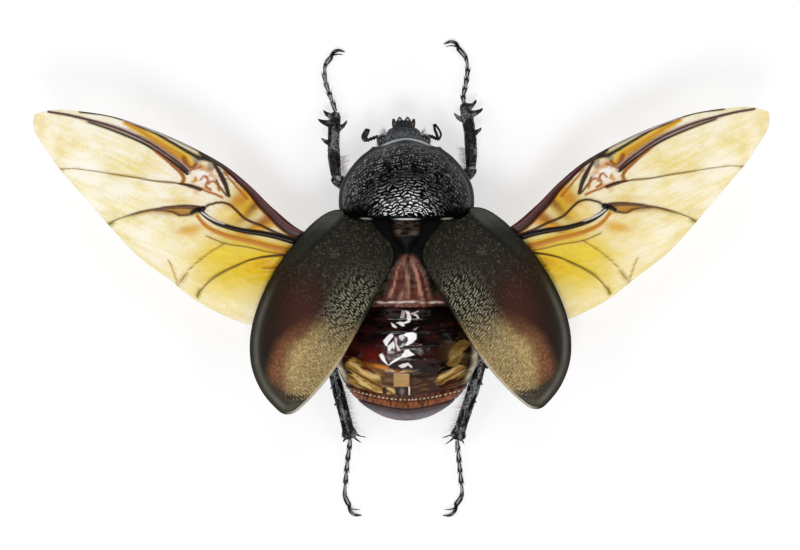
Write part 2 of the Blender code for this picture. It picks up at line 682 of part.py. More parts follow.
def build_shin(pair, label, finish, thigh):
    """A shin with its digging teeth and, at its end, its spurs."""
    side = SIDES[label]
    knee, length, along, out = shin_frame(pair, label)
    share = np.array([-0.02, 0.08, 0.2, 0.36, 0.52, 0.68, 0.82, 0.93, 1.0])
    path = knee + np.outer(share * length, along)
    path += np.outer(BOW[pair] * 4 * share * (1 - share), out)
    width = eased(np.clip(share, 0, 1), SHIN_WIDTH[pair])
    body = piece(f"{pair}leg_{label}_tibia", tube(sided(path, side), width, width * 0.62 + 0.1), finish,
                 sided(knee, side))
    teeth = []
    for root, tip, sideways, thick in SPINES[pair]:
        start = knee + along * length * root + out * np.sign(sideways) * 0.2
        end = knee + along * length * tip + out * sideways
        end[2] = max(end[2], start[2] - 0.9)
        hook = 0.16 * np.sign(sideways) * side
        teeth.append(piece("tooth", spike(sided(start, side), sided(end, side), thick, hook), finish))
    fused(body, teeth)
    return clear_of(body, thigh)


def build_foot(pair, label, finish, shin):
    """A foot of five joints with two claws, flat under its last joint."""
    side = SIDES[label]
    ankle = np.array(ANKLES[pair + "_" + label])
    toes = np.array(of_leg(TOES, pair, label))
    route = np.vstack([ankle, np.column_stack([toes, FOOT_DROP])])
    path, width = [], []
    for i in range(4):
        first = JOINT_SHARES[0] if i else ANKLE_SHARE
        for share, swell in ((first, JOINT_START), (JOINT_SHARES[1], JOINT_END)):
            path.append(route[i] + (route[i + 1] - route[i]) * share)
            width.append(swell)
    path += [route[4] + (route[5] - route[4]) * 0.1, route[5], (route[5] + route[6]) / 2, route[6]]
    width = np.array(width + list(LAST_JOINT))
    foot = piece(f"{pair}leg_{label}_tarsus",
                 tube(sided(path, side), width, width * FOOT_FLATNESS, 8, 0.0), finish, sided(ankle, side))
    root = toes[-1] + (toes[-2] - toes[-1]) * 0.25
    hook = smooth_path([tuple(root), *of_leg(CLAWS, pair, label)], 5)
    claws = []
    for lift, reach in ((0.5, (1.0, 1.0)), (0.8, (0.9, 0.68))):
        plan = root + (hook - root) * reach
        height = np.full((len(plan), 1), lift)
        girth = np.array([0.42, 0.42, 0.37, 0.31, 0.22, 0.08])
        claws.append(piece("claw", tube(sided(np.hstack([plan, height]), side), girth, girth, 6, 0.02),
                           finish))
    fused(foot, claws)
    return clear_of(foot, shin)


# The whole beetle

def place_on_span(nodes):
    """Hangs every node on one empty, which stands in the middle of the wing span on the floor."""
    stand = bpy.data.objects.new("beetle", None)
    stand.location = (MIDLINE * MILLIMETRE, 0, 0)
    bpy.context.scene.collection.objects.link(stand)
    for node in nodes:
        node.parent = stand


def main():
    for old in list(bpy.data.objects):
        bpy.data.objects.remove(old)
    black = material("black_chitin", (0.012, 0.012, 0.014), 0.32)
    case = material("wing_case", (0.05, 0.035, 0.018), 0.42)
    brown = material("abdomen_chitin", (0.10, 0.03, 0.015), 0.2)
    amber = material("wing_membrane", (0.78, 0.55, 0.16), 0.3)
    jaw = material("jaw_chitin", (0.18, 0.07, 0.03), 0.3)
    eye = material("eye_surface", (0.01, 0.008, 0.008), 0.12)

    shield = build_shield(black)
    head = build_head(black, shield)
    build_mouth(jaw, head)
    eyes = build_eyes(eye, head, shield)
    build_feelers(black, head, eyes)
    thorax = build_thorax(brown, shield)
    plate = build_scutellum(black, shield, thorax)
    abdomen = build_abdomen(brown)
    build_pygidium(brown)
    for label in SIDES:
        wing_case = build_case(label, case, (thorax, shield, plate, abdomen))
        build_wing(label, amber, (thorax, abdomen, wing_case))
    for pair in HIPS:
        carried_by = {"fore": (shield, thorax), "mid": (thorax, abdomen), "hind": (thorax, abdomen)}[pair]
        for label in SIDES:
            thigh = build_thigh(pair, label, black, carried_by)
            shin = build_shin(pair, label, black, thigh)
            build_foot(pair, label, black, shin)
    place_on_span(list(bpy.context.scene.collection.objects))


main()
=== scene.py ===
"""The looks of a caucasus beetle, a hornless female spread as a museum model.

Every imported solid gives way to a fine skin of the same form, with its own wrinkles, plates, veins,
spines and hair. Everything is in millimetres in the beetle's own frame: x runs from the body's midline
to the beetle's left, y from head to tail and z up from the floor.
"""

import itertools
import math

import bpy
import numpy as np
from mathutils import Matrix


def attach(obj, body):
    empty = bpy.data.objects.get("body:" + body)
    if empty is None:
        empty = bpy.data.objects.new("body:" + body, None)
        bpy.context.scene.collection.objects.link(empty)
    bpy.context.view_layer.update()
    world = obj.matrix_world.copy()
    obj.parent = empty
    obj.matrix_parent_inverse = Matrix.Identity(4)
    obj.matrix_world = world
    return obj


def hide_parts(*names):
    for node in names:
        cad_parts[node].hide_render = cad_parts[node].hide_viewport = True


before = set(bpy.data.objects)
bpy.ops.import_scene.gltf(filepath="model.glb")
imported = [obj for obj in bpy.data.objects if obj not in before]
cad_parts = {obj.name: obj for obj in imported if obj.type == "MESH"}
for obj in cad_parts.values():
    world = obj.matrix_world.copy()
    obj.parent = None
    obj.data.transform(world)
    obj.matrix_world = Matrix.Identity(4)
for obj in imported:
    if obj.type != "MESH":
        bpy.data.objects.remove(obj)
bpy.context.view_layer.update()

# Driving dimensions
MILLIMETRE = 0.001
MIDLINE = -0.98         # the body's midline, from the middle of the wing span
REAR = 25.6             # the tip of the abdomen
HEAD_LEAN = 0.5         # how far the head sits to the left of the midline
SHIELD_HEIGHT = 20.0    # the pronotum's crown above the floor
TRUNK_END = 4.8         # where the thorax gives way to the abdomen
RUMP_START = 20.9       # where the abdomen gives way to the pygidium
PLATE_ENDS = (7.4, 9.8, 12.4, 15.1, 18.0, RUMP_START)   # the rear edge of each plate on the back
CASE_THICK = 0.8        # a wing case's wall
CASE_CROWN = 4.6        # how far a wing case bulges above its edge
CASE_MIDDLE = (15.5, 3.2)                               # its crown, along the case and out across it
MEMBRANE = 0.34         # a hind wing's thickness between its veins
WING_HEIGHT = 12.9      # the front of a hind wing's root above the floor
SHIELD_MIDDLE = -15.6   # where on the midline the pronotum is highest
SWIRL = -6.5            # the place on the midline that the pronotum's wrinkles run round
GLARE = -10.2           # the place on the midline where the painted glints on the wrinkles are brightest
FURROW = -0.3           # the middle of the thorax's pink back, to the right of the midline
WRINKLE_LEAN = 27       # degrees by which the rows of a wing case's wrinkles lean from straight across it
CAMERA_AT = (0.00018, -0.00072, 0.730)                  # in metres
CAMERA_LENS = 180       # its focal length, in millimetres as its sensor's width is
CAMERA_SENSOR = 36
FLOOR_TONE = 0.45       # how much light the floor gives back
FLOOR_GLOW = 0.62       # how much it gives off by itself
SURROUND = 0.05         # the light that comes from all round

SIDES = {"left": 1, "right": -1}
CASE_ROOT = {"left": (7.4, -7.9), "right": (7.8, -8.1)}  # where each wing case is hinged
CASE_SWING = {"left": 23.3, "right": 26.3}              # degrees out from the midline
WING_REACH = {"left": 1.0, "right": 0.972}              # its span, as a share of the left one's
WING_SHIFT = {"left": 0.0, "right": -0.5}               # how far back it is set
WING_GOLD = {"left": 0.01, "right": 0.1}                # how much gold tinges the pale cells

# The width of a row of wrinkles, and the length of a stroke in it
WRINKLES = {"shield": (0.52, 1.3), "grit": (0.46, 0.56), "case": (0.43, 1.4)}
# The points round each skin, or over a wing case, and the rings along it or in to its middle
GRIDS = {"shield": (640, 136), "head": (320, 60), "scutellum": (200, 44), "thorax": (260, 120),
         "abdomen": (480, 200), "rump": (340, 66), "case": (200, 400)}
RUMP_TIP_RINGS = 16     # more rings, close together, at the pygidium's tip
CASE_UNDER = 24         # the points of each ring that lie below a wing case
PATH_STEPS = 1600       # the steps in which a smooth path is first walked


# Curves and numbers

def curved(values, turns, i, t, width):
    """A curve's value a share t of the way over its step i, from the values and slopes at its stops."""
    straight = values[i] * (1 + 2 * t) * (1 - t) ** 2 + values[i + 1] * t ** 2 * (3 - 2 * t)
    return straight + width * (turns[i] * t * (1 - t) ** 2 - turns[i + 1] * t ** 2 * (1 - t))


def eased(place, stops):
    """A smooth value through (place, value) stops, which never overshoots them."""
    places, values = np.array(stops, float).T
    slopes = np.diff(values) / np.diff(places)
    turns = np.zeros(len(places))
    turns[0], turns[-1] = slopes[0], slopes[-1]
    for i in range(1, len(places) - 1):
        if slopes[i - 1] * slopes[i] > 0:
            turns[i] = 2 / (1 / slopes[i - 1] + 1 / slopes[i])
    at = np.clip(np.asarray(place, float), places[0], places[-1])
    i = np.clip(np.searchsorted(places, at) - 1, 0, len(places) - 2)
    width = places[i + 1] - places[i]
    t = (at - places[i]) / width
    return curved(values, turns, i, t, width)


def smooth_path(points, steps, closed=False):
    """Points at even distances along a smooth curve through given points."""
    knots = np.array(points, float)
    if closed:
        knots = np.vstack([knots[-2:], knots, knots[:3]])
    lengths = np.linalg.norm(np.diff(knots, axis=0), axis=1)
    at = np.concatenate([[0], np.cumsum(lengths)])
    slopes = np.diff(knots, axis=0) / lengths[:, None]
    turns = np.vstack([slopes[:1], (slopes[1:] + slopes[:-1]) / 2, slopes[-1:]])
    first, last = (at[2], at[-3]) if closed else (at[0], at[-1])
    distance = np.linspace(first, last, PATH_STEPS)
    i = np.clip(np.searchsorted(at, distance, side="right") - 1, 0, len(lengths) - 1)
    t = ((distance - at[i]) / lengths[i])[:, None]
    width = lengths[i][:, None]
    fine = curved(knots, turns, i, t, width)
    walked = np.concatenate([[0], np.cumsum(np.linalg.norm(np.diff(fine, axis=0), axis=1))])
    wanted = np.linspace(0, walked[-1], steps + 1)
    if closed:
        wanted = wanted[:-1]
    return np.stack([np.interp(wanted, walked, fine[:, k]) for k in range(fine.shape[1])], axis=1)


def mirrored(half):
    """A closed plan outline from its left half, which runs from the midline to the midline."""
    left = [tuple(point) for point in half]
    return left + [(-x, y) for x, y in left[-2:0:-1]]


def sided(points, side):
    """The same points for the beetle's left, or mirrored for its right."""
    points = np.array(points, float)
    return points * ([side, 1, 1] if points.shape[-1] == 3 else [side, 1])


def soft(value, low, high):
    """Rises smoothly from 0 at low to 1 at high."""
    t = np.clip((value - low) / (high - low), 0, 1)
    return t * t * (3 - 2 * t)


def bell(value, middle, width, power=2):
    """1 at a middle value, fading out by about twice its width."""
    return np.exp(-((value - middle) / width) ** power)


def spot(x, y, centre, reach, turn=0.0):
    """A soft round patch: 1 at its centre, fading out by about twice its reach along and across."""
    c, s = math.cos(math.radians(turn)), math.sin(math.radians(turn))
    u = ((x - centre[0]) * c + (y - centre[1]) * s) / reach[0]
    v = ((y - centre[1]) * c - (x - centre[0]) * s) / reach[1]
    return np.exp(-(u * u + v * v))


def block(x, y, centre, outer, inner):
    """A soft-edged oblong: 1 within inner of its centre along and across, 0 beyond outer."""
    across = soft(np.abs(x - centre[0]), outer[0], inner[0])
    return across * soft(np.abs(y - centre[1]), outer[1], inner[1])


def along_line(x, y, line):
    """How far each place lies from a line in plan, and its share of the way along it."""
    line = np.array(line, float)
    best = np.full(len(x), 1e9)
    share = np.zeros(len(x))
    count = len(line) - 1
    for i, (start, end) in enumerate(zip(line, line[1:])):
        step = end - start
        t = ((x - start[0]) * step[0] + (y - start[1]) * step[1]) / (step @ step)
        t = np.clip(t, 0, 1)
        apart = np.hypot(x - start[0] - t * step[0], y - start[1] - t * step[1])
        nearer = apart < best
        best[nearer] = apart[nearer]
        share[nearer] = (i + t[nearer]) / count
    return best, share


def from_edge(x, y, outline):
    """How far each place lies from a closed outline in plan."""
    return along_line(x, y, np.vstack([outline, outline[:1]]))[0]


def filled(x, y, corners, blur):
    """1 inside a closed outline in plan, fading to 0 over its edge."""
    corners = np.array(corners, float)
    apart = from_edge(x, y, corners)
    crossed = np.zeros(len(x), int)
    for (x0, y0), (x1, y1) in zip(corners, np.roll(corners, -1, axis=0)):
        if y0 != y1:
            beyond = x < x0 + (y - y0) / (y1 - y0) * (x1 - x0)
            crossed += ((y0 > y) != (y1 > y)) & beyond
    return soft(np.where(crossed % 2 == 1, apart, -apart), -blur, blur)


# Grain

def random_at(cell, seed):
    """A fixed number from 0 to 1 for every whole place."""
    mask = np.uint64(0xffffffff)
    key = np.full(cell.shape[:-1], (seed * 2654435761 + 97) & 0xffffffff, dtype=np.uint64)
    for axis in range(cell.shape[-1]):
        key = ((key ^ (cell[..., axis].astype(np.uint64) & mask)) * np.uint64(2246822519)) & mask
        key ^= key >> np.uint64(15)
    key = (key * np.uint64(3266489917)) & mask
    key ^= key >> np.uint64(13)
    return key.astype(float) / 2 ** 32


def noise(places, size, seed):
    """Smooth random numbers from 0 to 1, whose swells are about size across."""
    at = np.asarray(places, float) / size
    base = np.floor(at)
    part = at - base
    part = part * part * (3 - 2 * part)
    base = base.astype(np.int64)
    total = np.zeros(len(at))
    for corner in itertools.product((0, 1), repeat=at.shape[-1]):
        share = np.prod(np.where(corner, part, 1 - part), axis=-1)
        total += share * random_at(base + corner, seed)
    return total


def fractal(places, size, seed, octaves=3):
    """Smooth random numbers from 0 to 1, with finer and finer swells laid over the widest."""
    total, weight = 0.0, 0.0
    for k in range(octaves):
        total = total + noise(places, np.asarray(size) / 2 ** k, seed + 31 * k) / 2 ** k
        weight += 0.5 ** k
    return total / weight


def ridges(places, size, seed):
    """Sharp winding crests, 1 on the crest and 0 in between."""
    return 1 - np.abs(2 * noise(places, size, seed) - 1) ** 0.8


def net(places, size, seed):
    """The walls of an irregular net: 0 on a wall, rising to about 1 inside each of its cells."""
    at = np.asarray(places, float) / size
    base = np.floor(at).astype(np.int64)
    count = at.shape[-1]
    near = np.full(len(at), 9.0)
    far = near.copy()
    for step in itertools.product((-1, 0, 1), repeat=count):
        cell = base + step
        shift = np.stack([random_at(cell, seed + axis) for axis in range(count)], axis=-1)
        apart = np.linalg.norm(cell + shift - at, axis=-1)
        far = np.minimum(far, np.maximum(near, apart))
        near = np.minimum(near, apart)
    return np.clip(far - near, 0, 1)


def dashes(rows, along, seed):
    """Short strokes end to end along numbered rows, shifted from row to row: 1 on a stroke, 0 off it."""
    shift = noise(np.column_stack([np.round(rows), np.zeros(len(rows))]), 1.0, seed)
    stroke = soft(np.cos(2 * math.pi * (along + 3 * shift)), -0.85, -0.2)
    return stroke * soft(np.cos(2 * math.pi * rows), 0.0, 0.8)


def crumpled(x, y, seed):
    """The heights, from 0 to 1, of a sheet creased into flat three-cornered facets about 1 across."""
    at = np.stack([x - 0.577 * y, 1.155 * y], axis=-1)
    cell = np.floor(at).astype(np.int64)
    part = at - cell
    low, right, up, far = [random_at(cell + step, seed) for step in ((0, 0), (1, 0), (0, 1), (1, 1))]
    first = low + part[:, 0] * (right - low) + part[:, 1] * (up - low)
    last = far + (1 - part[:, 0]) * (up - far) + (1 - part[:, 1]) * (right - far)
    return np.where(part.sum(axis=-1) < 1, first, last)


# Colours

def rgb(code):
    """The light that a colour code such as c08040 stands for."""
    parts = np.array([int(code[i:i + 2], 16) for i in (0, 2, 4)]) / 255
    return np.where(parts <= 0.04045, parts / 12.92, ((parts + 0.055) / 1.055) ** 2.4)


def painted(tint, share, code):
    """Lays a colour over a share of a surface."""
    share = np.clip(share, 0, 1)
    return tint + (rgb(code) - tint) * np.reshape(share, (-1, 1))


def layered(tint, layers):
    """Lays one colour after another, each given as the share of the surface that it covers and its code."""
    for share, code in layers:
        tint = painted(tint, share, code)
    return tint


# Meshes

def rings_mesh(rings):
    """Points and faces of a closed skin over rings of equal count, whose ends are points or get one."""
    rings = [np.atleast_2d(ring) for ring in rings]
    if len(rings[0]) > 1:
        rings.insert(0, rings[0].mean(axis=0, keepdims=True))
    if len(rings[-1]) > 1:
        rings.append(rings[-1].mean(axis=0, keepdims=True))
    count = len(rings[1])
    body = np.arange((len(rings) - 2) * count).reshape(-1, count) + 1
    onward = np.roll(body, -1, axis=1)
    quads = np.stack([body[:-1], onward[:-1], onward[1:], body[1:]], axis=-1).reshape(-1, 4)
    last = int(body[-1, -1]) + 1
    start = [(0, int(b), int(a)) for a, b in zip(body[0], onward[0])]
    end = [(last, int(a), int(b)) for a, b in zip(body[-1], onward[-1])]
    return np.vstack(rings), quads.tolist() + start + end


def joined(meshes):
    """Several meshes as one."""
    points, faces, count = [], [], 0
    for some, corners in meshes:
        points.append(some)
        faces += [[number + count for number in face] for face in corners]
        count += len(some)
    return np.vstack(points), faces


def holds(points, faces):
    """Six times what a closed skin holds, below zero where its faces look inward."""
    total = 0.0
    for size in (3, 4):
        chosen = np.array([face for face in faces if len(face) == size], dtype=int)
        if not len(chosen):
            continue
        corners = points[chosen]
        for k in range(1, size - 1):
            total += np.einsum("ij,ij->", corners[:, 0], np.cross(corners[:, k], corners[:, k + 1]))
    return total


def piece(name, mesh, finish, slot, nodes=(), relief=None, **look):
    """A fine skin, raised along its own normals by relief and coloured by look, in place of its nodes."""
    points, faces = mesh
    if holds(points, faces) < 0:
        faces = [face[::-1] for face in faces]
    data = bpy.data.meshes.new(name)
    data.from_pydata(points.tolist(), [], faces)
    if relief is not None:
        outward = np.empty(len(points) * 3)
        data.vertex_normals.foreach_get("vector", outward)
        points = points + outward.reshape(-1, 3) * np.reshape(relief, (-1, 1))
    world = points * MILLIMETRE + (MIDLINE * MILLIMETRE, 0, 0)
    data.vertices.foreach_set("co", world.ravel())
    for label, values in look.items():
        if np.ndim(values) == 2:
            made = data.attributes.new(label, "FLOAT_COLOR", "POINT")
            made.data.foreach_set("color", np.column_stack([values, np.ones(len(points))]).ravel())
        else:
            made = data.attributes.new(label, "FLOAT", "POINT")
            made.data.foreach_set("value", np.zeros(len(points)) + values)
    data.shade_smooth()
    data.update()
    data.materials.append(finish)
    body = bpy.data.objects.new(name, data)
    bpy.context.scene.collection.objects.link(body)
    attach(body, "root")
    if nodes:
        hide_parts(*nodes)
    return body


# Basic forms

def dome(outline, centre, rings, height):
    """Rings from a plan outline in to its centre, each lifted by height(x, y, share of the way out)."""
    outline = np.array(outline, float)
    made = []
    for step in range(rings + 1):
        inward = step / rings
        out = (math.cos(math.pi / 2 * inward) + 1 - inward) / 2
        plan = np.array(centre) + out * (outline - centre)
        if step == rings:
            plan = plan[:1]
        z = np.broadcast_to(height(plan[:, 0], plan[:, 1], out), len(plan))
        made.append(np.column_stack([plan, z]))
    return made


def pebble(outline, centre, rings, top, bottom, rings_below=12):
    """A closed body with one plan outline, a domed top and a domed underside."""
    upper = dome(outline, centre, rings, top)
    lower = dome(outline, centre, rings_below, bottom)
    return rings_mesh(lower[::-1] + upper[1:])


def tube(path, wide, high, sides, floor=None):
    """A closed tube along a path, given half its width and height, flat where it meets a floor."""
    path = np.array(path, float)
    wide = np.broadcast_to(wide, len(path))
    high = np.broadcast_to(high, len(path))
    along = np.gradient(path, axis=0)
    rings = []
    for point, heading, w, h in zip(path, along, wide, high):
        heading = heading / np.linalg.norm(heading)
        across = np.cross(heading, (0, 0, 1))
        across /= np.linalg.norm(across)
        up = np.cross(across, heading)
        turn = np.arange(sides) * 2 * math.pi / sides
        rings.append(point + np.outer(np.cos(turn) * w, across) + np.outer(np.sin(turn) * h, up))
    points, faces = rings_mesh(rings)
    if floor is not None:
        points[:, 2] = np.maximum(points[:, 2], floor)
    return points, faces


def limb(stops, steps, sides, flat):
    """A tube through (x, y, z, half width) stops, smoothly joined, and flat times as high as it is wide."""
    fine = smooth_path(stops, steps)
    return tube(fine[:, :3], fine[:, 3], fine[:, 3] * flat, sides)


def spike(root, tip, thick, bend=0.0, sides=16, steps=18):
    """A tapered, hooked spine from a broad root sunk in its leg to a free tip."""
    root, tip = np.array(root, float), np.array(tip, float)
    along = tip - root
    across = np.cross(along, (0, 0, 1))
    across /= np.linalg.norm(across)
    share = np.linspace(0, 1, steps)
    path = root + np.outer(share, along) + np.outer(bend * 4 * share * (1 - share), across)
    width = thick * eased(share, ((0, 1.0), (0.3, 0.66), (0.6, 0.4), (0.85, 0.24), (1, 0.06)))
    return tube(path, width, width, sides)


# Materials

def new_material(name):
    """A material, with its node tree and its shader."""
    made = bpy.data.materials.new(name)
    made.use_nodes = True
    return made, made.node_tree, made.node_tree.nodes["Principled BSDF"]


def kept(tree, label, output="Fac"):
    """What each point of the mesh keeps under a label."""
    node = tree.nodes.new("ShaderNodeAttribute")
    node.attribute_name = label
    return node.outputs[output]


def cloudy(tree, scale, detail):
    """Smooth noise that is fixed to the object; the scale is in swells to the metre."""
    node = tree.nodes.new("ShaderNodeTexNoise")
    node.inputs["Scale"].default_value = scale
    node.inputs["Detail"].default_value = detail
    place = tree.nodes.new("ShaderNodeTexCoord")
    tree.links.new(place.outputs["Object"], node.inputs["Vector"])
    return node.outputs["Fac"]


def between(tree, value, low, high):
    """A value from 0 to 1, taken to lie between low and high."""
    node = tree.nodes.new("ShaderNodeMapRange")
    node.inputs["To Min"].default_value = low
    node.inputs["To Max"].default_value = high
    tree.links.new(value, node.inputs["Value"])
    return node.outputs["Result"]


def mottled(tree, shader, cloud, change):
    """Gives the shader the painted colour, made lighter and darker by up to a share of itself."""
    node = tree.nodes.new("ShaderNodeVectorMath")
    node.operation = "SCALE"
    tree.links.new(kept(tree, "tint", "Color"), node.inputs["Vector"])
    tree.links.new(between(tree, cloud, 1 - change, 1 + change), node.inputs["Scale"])
    tree.links.new(node.outputs["Vector"], shader.inputs["Base Color"])


def bumpy(tree, shader, cloud, strength, depth):
    """Gives the shader small bumps, depth high in millimetres."""
    node = tree.nodes.new("ShaderNodeBump")
    node.inputs["Strength"].default_value = strength
    node.inputs["Distance"].default_value = depth * MILLIMETRE
    tree.links.new(cloud, node.inputs["Height"])
    tree.links.new(node.outputs["Normal"], shader.inputs["Normal"])


def chitin(name, roughness, spread, specular, grain, depth, coat=0.0):
    """Hard skin in its painted colours, with a fine grain that also breaks up its gloss."""
    made, tree, shader = new_material(name)
    mottled(tree, shader, cloudy(tree, scale=1000 / (grain * 4), detail=4), change=0.28)
    fine = cloudy(tree, scale=1000 / grain, detail=3)
    total = tree.nodes.new("ShaderNodeMath")
    total.operation = "ADD"
    total.use_clamp = True
    tree.links.new(between(tree, fine, roughness - spread, roughness + spread), total.inputs[0])
    tree.links.new(kept(tree, "dull"), total.inputs[1])
    tree.links.new(total.outputs["Value"], shader.inputs["Roughness"])
    bumpy(tree, shader, fine, strength=0.7, depth=depth)
    shader.inputs["Specular IOR Level"].default_value = specular
    if coat:
        shader.inputs["Coat Weight"].default_value = coat
        shader.inputs["Coat Roughness"].default_value = 0.06
    return made


def membrane(name):
    """Thin amber skin, clearer where its paint is pale, with fine creases that catch the light."""
    made, tree, shader = new_material(name)
    mottled(tree, shader, cloudy(tree, scale=900, detail=5), change=0.1)
    tree.links.new(kept(tree, "cover"), shader.inputs["Alpha"])
    bumpy(tree, shader, cloudy(tree, scale=2600, detail=3), strength=0.35, depth=0.05)
    shader.inputs["Roughness"].default_value = 0.3
    shader.inputs["Specular IOR Level"].default_value = 0.12
    return made


def bristle(name):
    """Bristles in their painted colours."""
    made, tree, shader = new_material(name)
    tree.links.new(kept(tree, "tint", "Color"), shader.inputs["Base Color"])
    shader.inputs["Roughness"].default_value = 0.45
    return made


# Pronotum, head and scutellum

SHIELD_HALF = ((0, -25.4), (2.6, -24.9), (5.0, -23.9), (5.6, -23.75), (6.0, -23.85), (6.5, -23.4),
               (8.3, -22.0), (10.4, -19.5), (11.8, -16.9), (12.2, -14.3), (11.9, -12.2), (10.7, -11.1),
               (7.2, -10.6), (3.4, -10.5), (0, -10.5))
HEAD_HALF = ((0, -28.6), (0.72, -29.25), (1.3, -28.5), (1.5, -27.7), (2.1, -27.3), (2.9, -26.6),
             (3.2, -25.8), (3.9, -25.2), (4.3, -24.2), (4.2, -22.6), (2.6, -21.6), (0, -21.4))


def shield_crests(points, far):
    """The pronotum's broken crests, which run round the swirl: long ones near it, short ones far off."""
    x, y = points.T[:2]
    radius = np.hypot(x, y - SWIRL)
    arc = radius * np.arctan2(x, SWIRL - y)
    row, stroke = WRINKLES["shield"]
    rows = radius / row + 2.6 * fractal(points, 1.3, 11)
    long = dashes(rows, arc / stroke + 1.5 * fractal(points, 1.6, 14), 16)
    long = long * (0.3 + 0.7 * soft(noise(points, 0.8, 18), 0.15, 0.6))
    row, stroke = WRINKLES["grit"]
    rows = radius / row + 2.4 * fractal(points, 0.9, 12)
    short = dashes(rows, arc / stroke + 1.5 * fractal(points, 1.1, 13), 17)
    short = short * soft(noise(points, 0.5, 5), 0.2, 0.7)
    return long * (1 - far) + short * far


def build_shield(finish):
    """The pronotum: glossy wavy wrinkles round the middle of its rear edge, a fine grit elsewhere, and
    painted glints and sheen.
    """
    count, rings = GRIDS["shield"]
    outline = smooth_path(mirrored(SHIELD_HALF), count, closed=True)

    def brim(y):
        return eased(y, ((-25.3, 9.4), (-20, 9.4), (-14.5, 9.8), (-11.5, 12.6), (-10.5, 14.8)))

    def top(x, y, out):
        full = soft(y, -17.5, -12.5)
        rise = (1 - out ** (2.3 + 0.9 * full)) ** (0.62 - 0.08 * full)
        return brim(y) + (SHIELD_HEIGHT - brim(y)) * rise

    def bottom(x, y, out):
        return brim(y) - 0.4 - (brim(y) - 0.4 - 4.0) * (1 - out ** 3.0) ** 0.5

    points, faces = pebble(outline, (0, SHIELD_MIDDLE), rings, top, bottom, rings_below=10)
    x, y, z = points.T
    up = soft(z - brim(y), -0.3, 0.4)
    edge = from_edge(x, y, outline[::4])
    away = np.hypot(x, y - GLARE)
    far = soft(away + 1.5 * (noise(points, 2.0, 7) - 0.5), 6.8, 9.2)
    crest = shield_crests(points, far)
    # How bright the painted white glints on the crests are: brightest near the rear middle, dimmer toward
    # the sides
    light = eased(away, ((0, 1.5), (2.5, 1.4), (4.2, 0.9), (5.6, 0.5), (7.2, 0.22), (8.4, 0.12),
                         (9.6, 0.2), (11, 0.3), (13, 0.3)))
    corner = soft(y, -11.5, -14.5)
    light *= np.where(away > 7, corner, 0.35 + 0.65 * soft(np.abs(x), 7.5, 4.5))
    light *= np.clip(1 + 0.02 * x, 0.7, 1.2) * (0.45 + 1.1 * fractal(points, 1.6, 8))
    margin = soft(edge, 0.5, 1.0)
    bead = 0.16 * bell(edge, 0.22, 0.16) - 0.12 * bell(edge, 0.62, 0.2)
    relief = up * (margin * crest * (0.1 - 0.05 * far) + bead)
    rear = up * soft(edge, 0.42, 0.28) * soft(y, -12, -11)
    tint = layered(rgb("020303"), (
        # painted sheen on the far front and sides
        (up * soft(away, 9.5, 12.0) * corner * 0.1, "1c2024"),
        # painted white glints on the wrinkles' crests
        (up * crest * margin * light, "ffffff"),
        # painted sheen along the side margins in front
        (up * soft(edge, 1.5, 0.5) * soft(y, -12.5, -15) * 0.7, "24282c"),
        (up * soft(edge, 0.5, 0.3) * soft(y, -23.6, -24.2), "c4c6c6"),
        # painted highlights along the rear edge
        (rear * bell(x, 0, 1.9, 4), "f0f2f4"),
        (rear * bell(np.abs(x), 7.2, 0.9, 4), "8d9a86"),
    ))
    piece("shield_skin", (points, faces), finish, "shield_chitin", ("pronotum",), relief,
          tint=tint, dull=0.1 * far)


def build_head(finish):
    """The head with its forked lip, granular crown and low bump in place of a horn."""
    count, rings = GRIDS["head"]
    outline = smooth_path(mirrored(HEAD_HALF), count, closed=True) + (HEAD_LEAN, 0)

    def brim(y):
        return eased(y, ((-29.2, 7.6), (-27, 7.9), (-24, 8.0), (-21.4, 8.4)))

    def top(x, y, out):
        rise = eased(y, ((-29.2, 0.3), (-27.5, 1.2), (-25, 3.0), (-21.4, 3.2)))
        bump = 0.7 * np.exp(-((y + 26.6) ** 2 + (x - HEAD_LEAN) ** 2) / 0.8)
        return brim(y) + rise * (1 - out ** 2.4) ** 0.7 + bump

    def bottom(x, y, out):
        drop = eased(y, ((-29.2, 0.6), (-27.5, 1.0), (-25, 3.2), (-21.4, 3.4)))
        return brim(y) - 0.3 - drop * (1 - out ** 2.4) ** 0.7

    points, faces = pebble(outline, (HEAD_LEAN, -25.0), rings, top, bottom)
    x, y = points.T[:2]
    grain = 1 - soft(net(points, 0.5, 21), 0.05, 0.4)
    ridge = bell(y, -26.9, 0.25) * soft(np.abs(x - HEAD_LEAN), 1.9, 1.2)
    relief = 0.1 * grain + 0.2 * ridge - 0.12 * bell(y, -27.5, 0.3)
    crown = soft(y, -27.0, -26.2)
    tint = layered(rgb("08090b"), (
        (crown * 0.4, "16191c"),
        (grain * (0.12 + 0.34 * crown), "888e94"),
        (spot(x, y, (HEAD_LEAN, -25.9), (1.3, 0.4)) * 0.5, "70767c"),
    ))
    for side in SIDES.values():
        # a painted highlight on each tip of the forked lip
        tip = spot(x, y, (HEAD_LEAN + 0.72 * side, -28.75), (0.26, 0.24))
        tint = painted(tint, soft(tip, 0.25, 0.7), "a9a39b")
    piece("head_skin", (points, faces), finish, "head_chitin", ("head",), relief,
          tint=tint, dull=0.06 * (1 - grain))


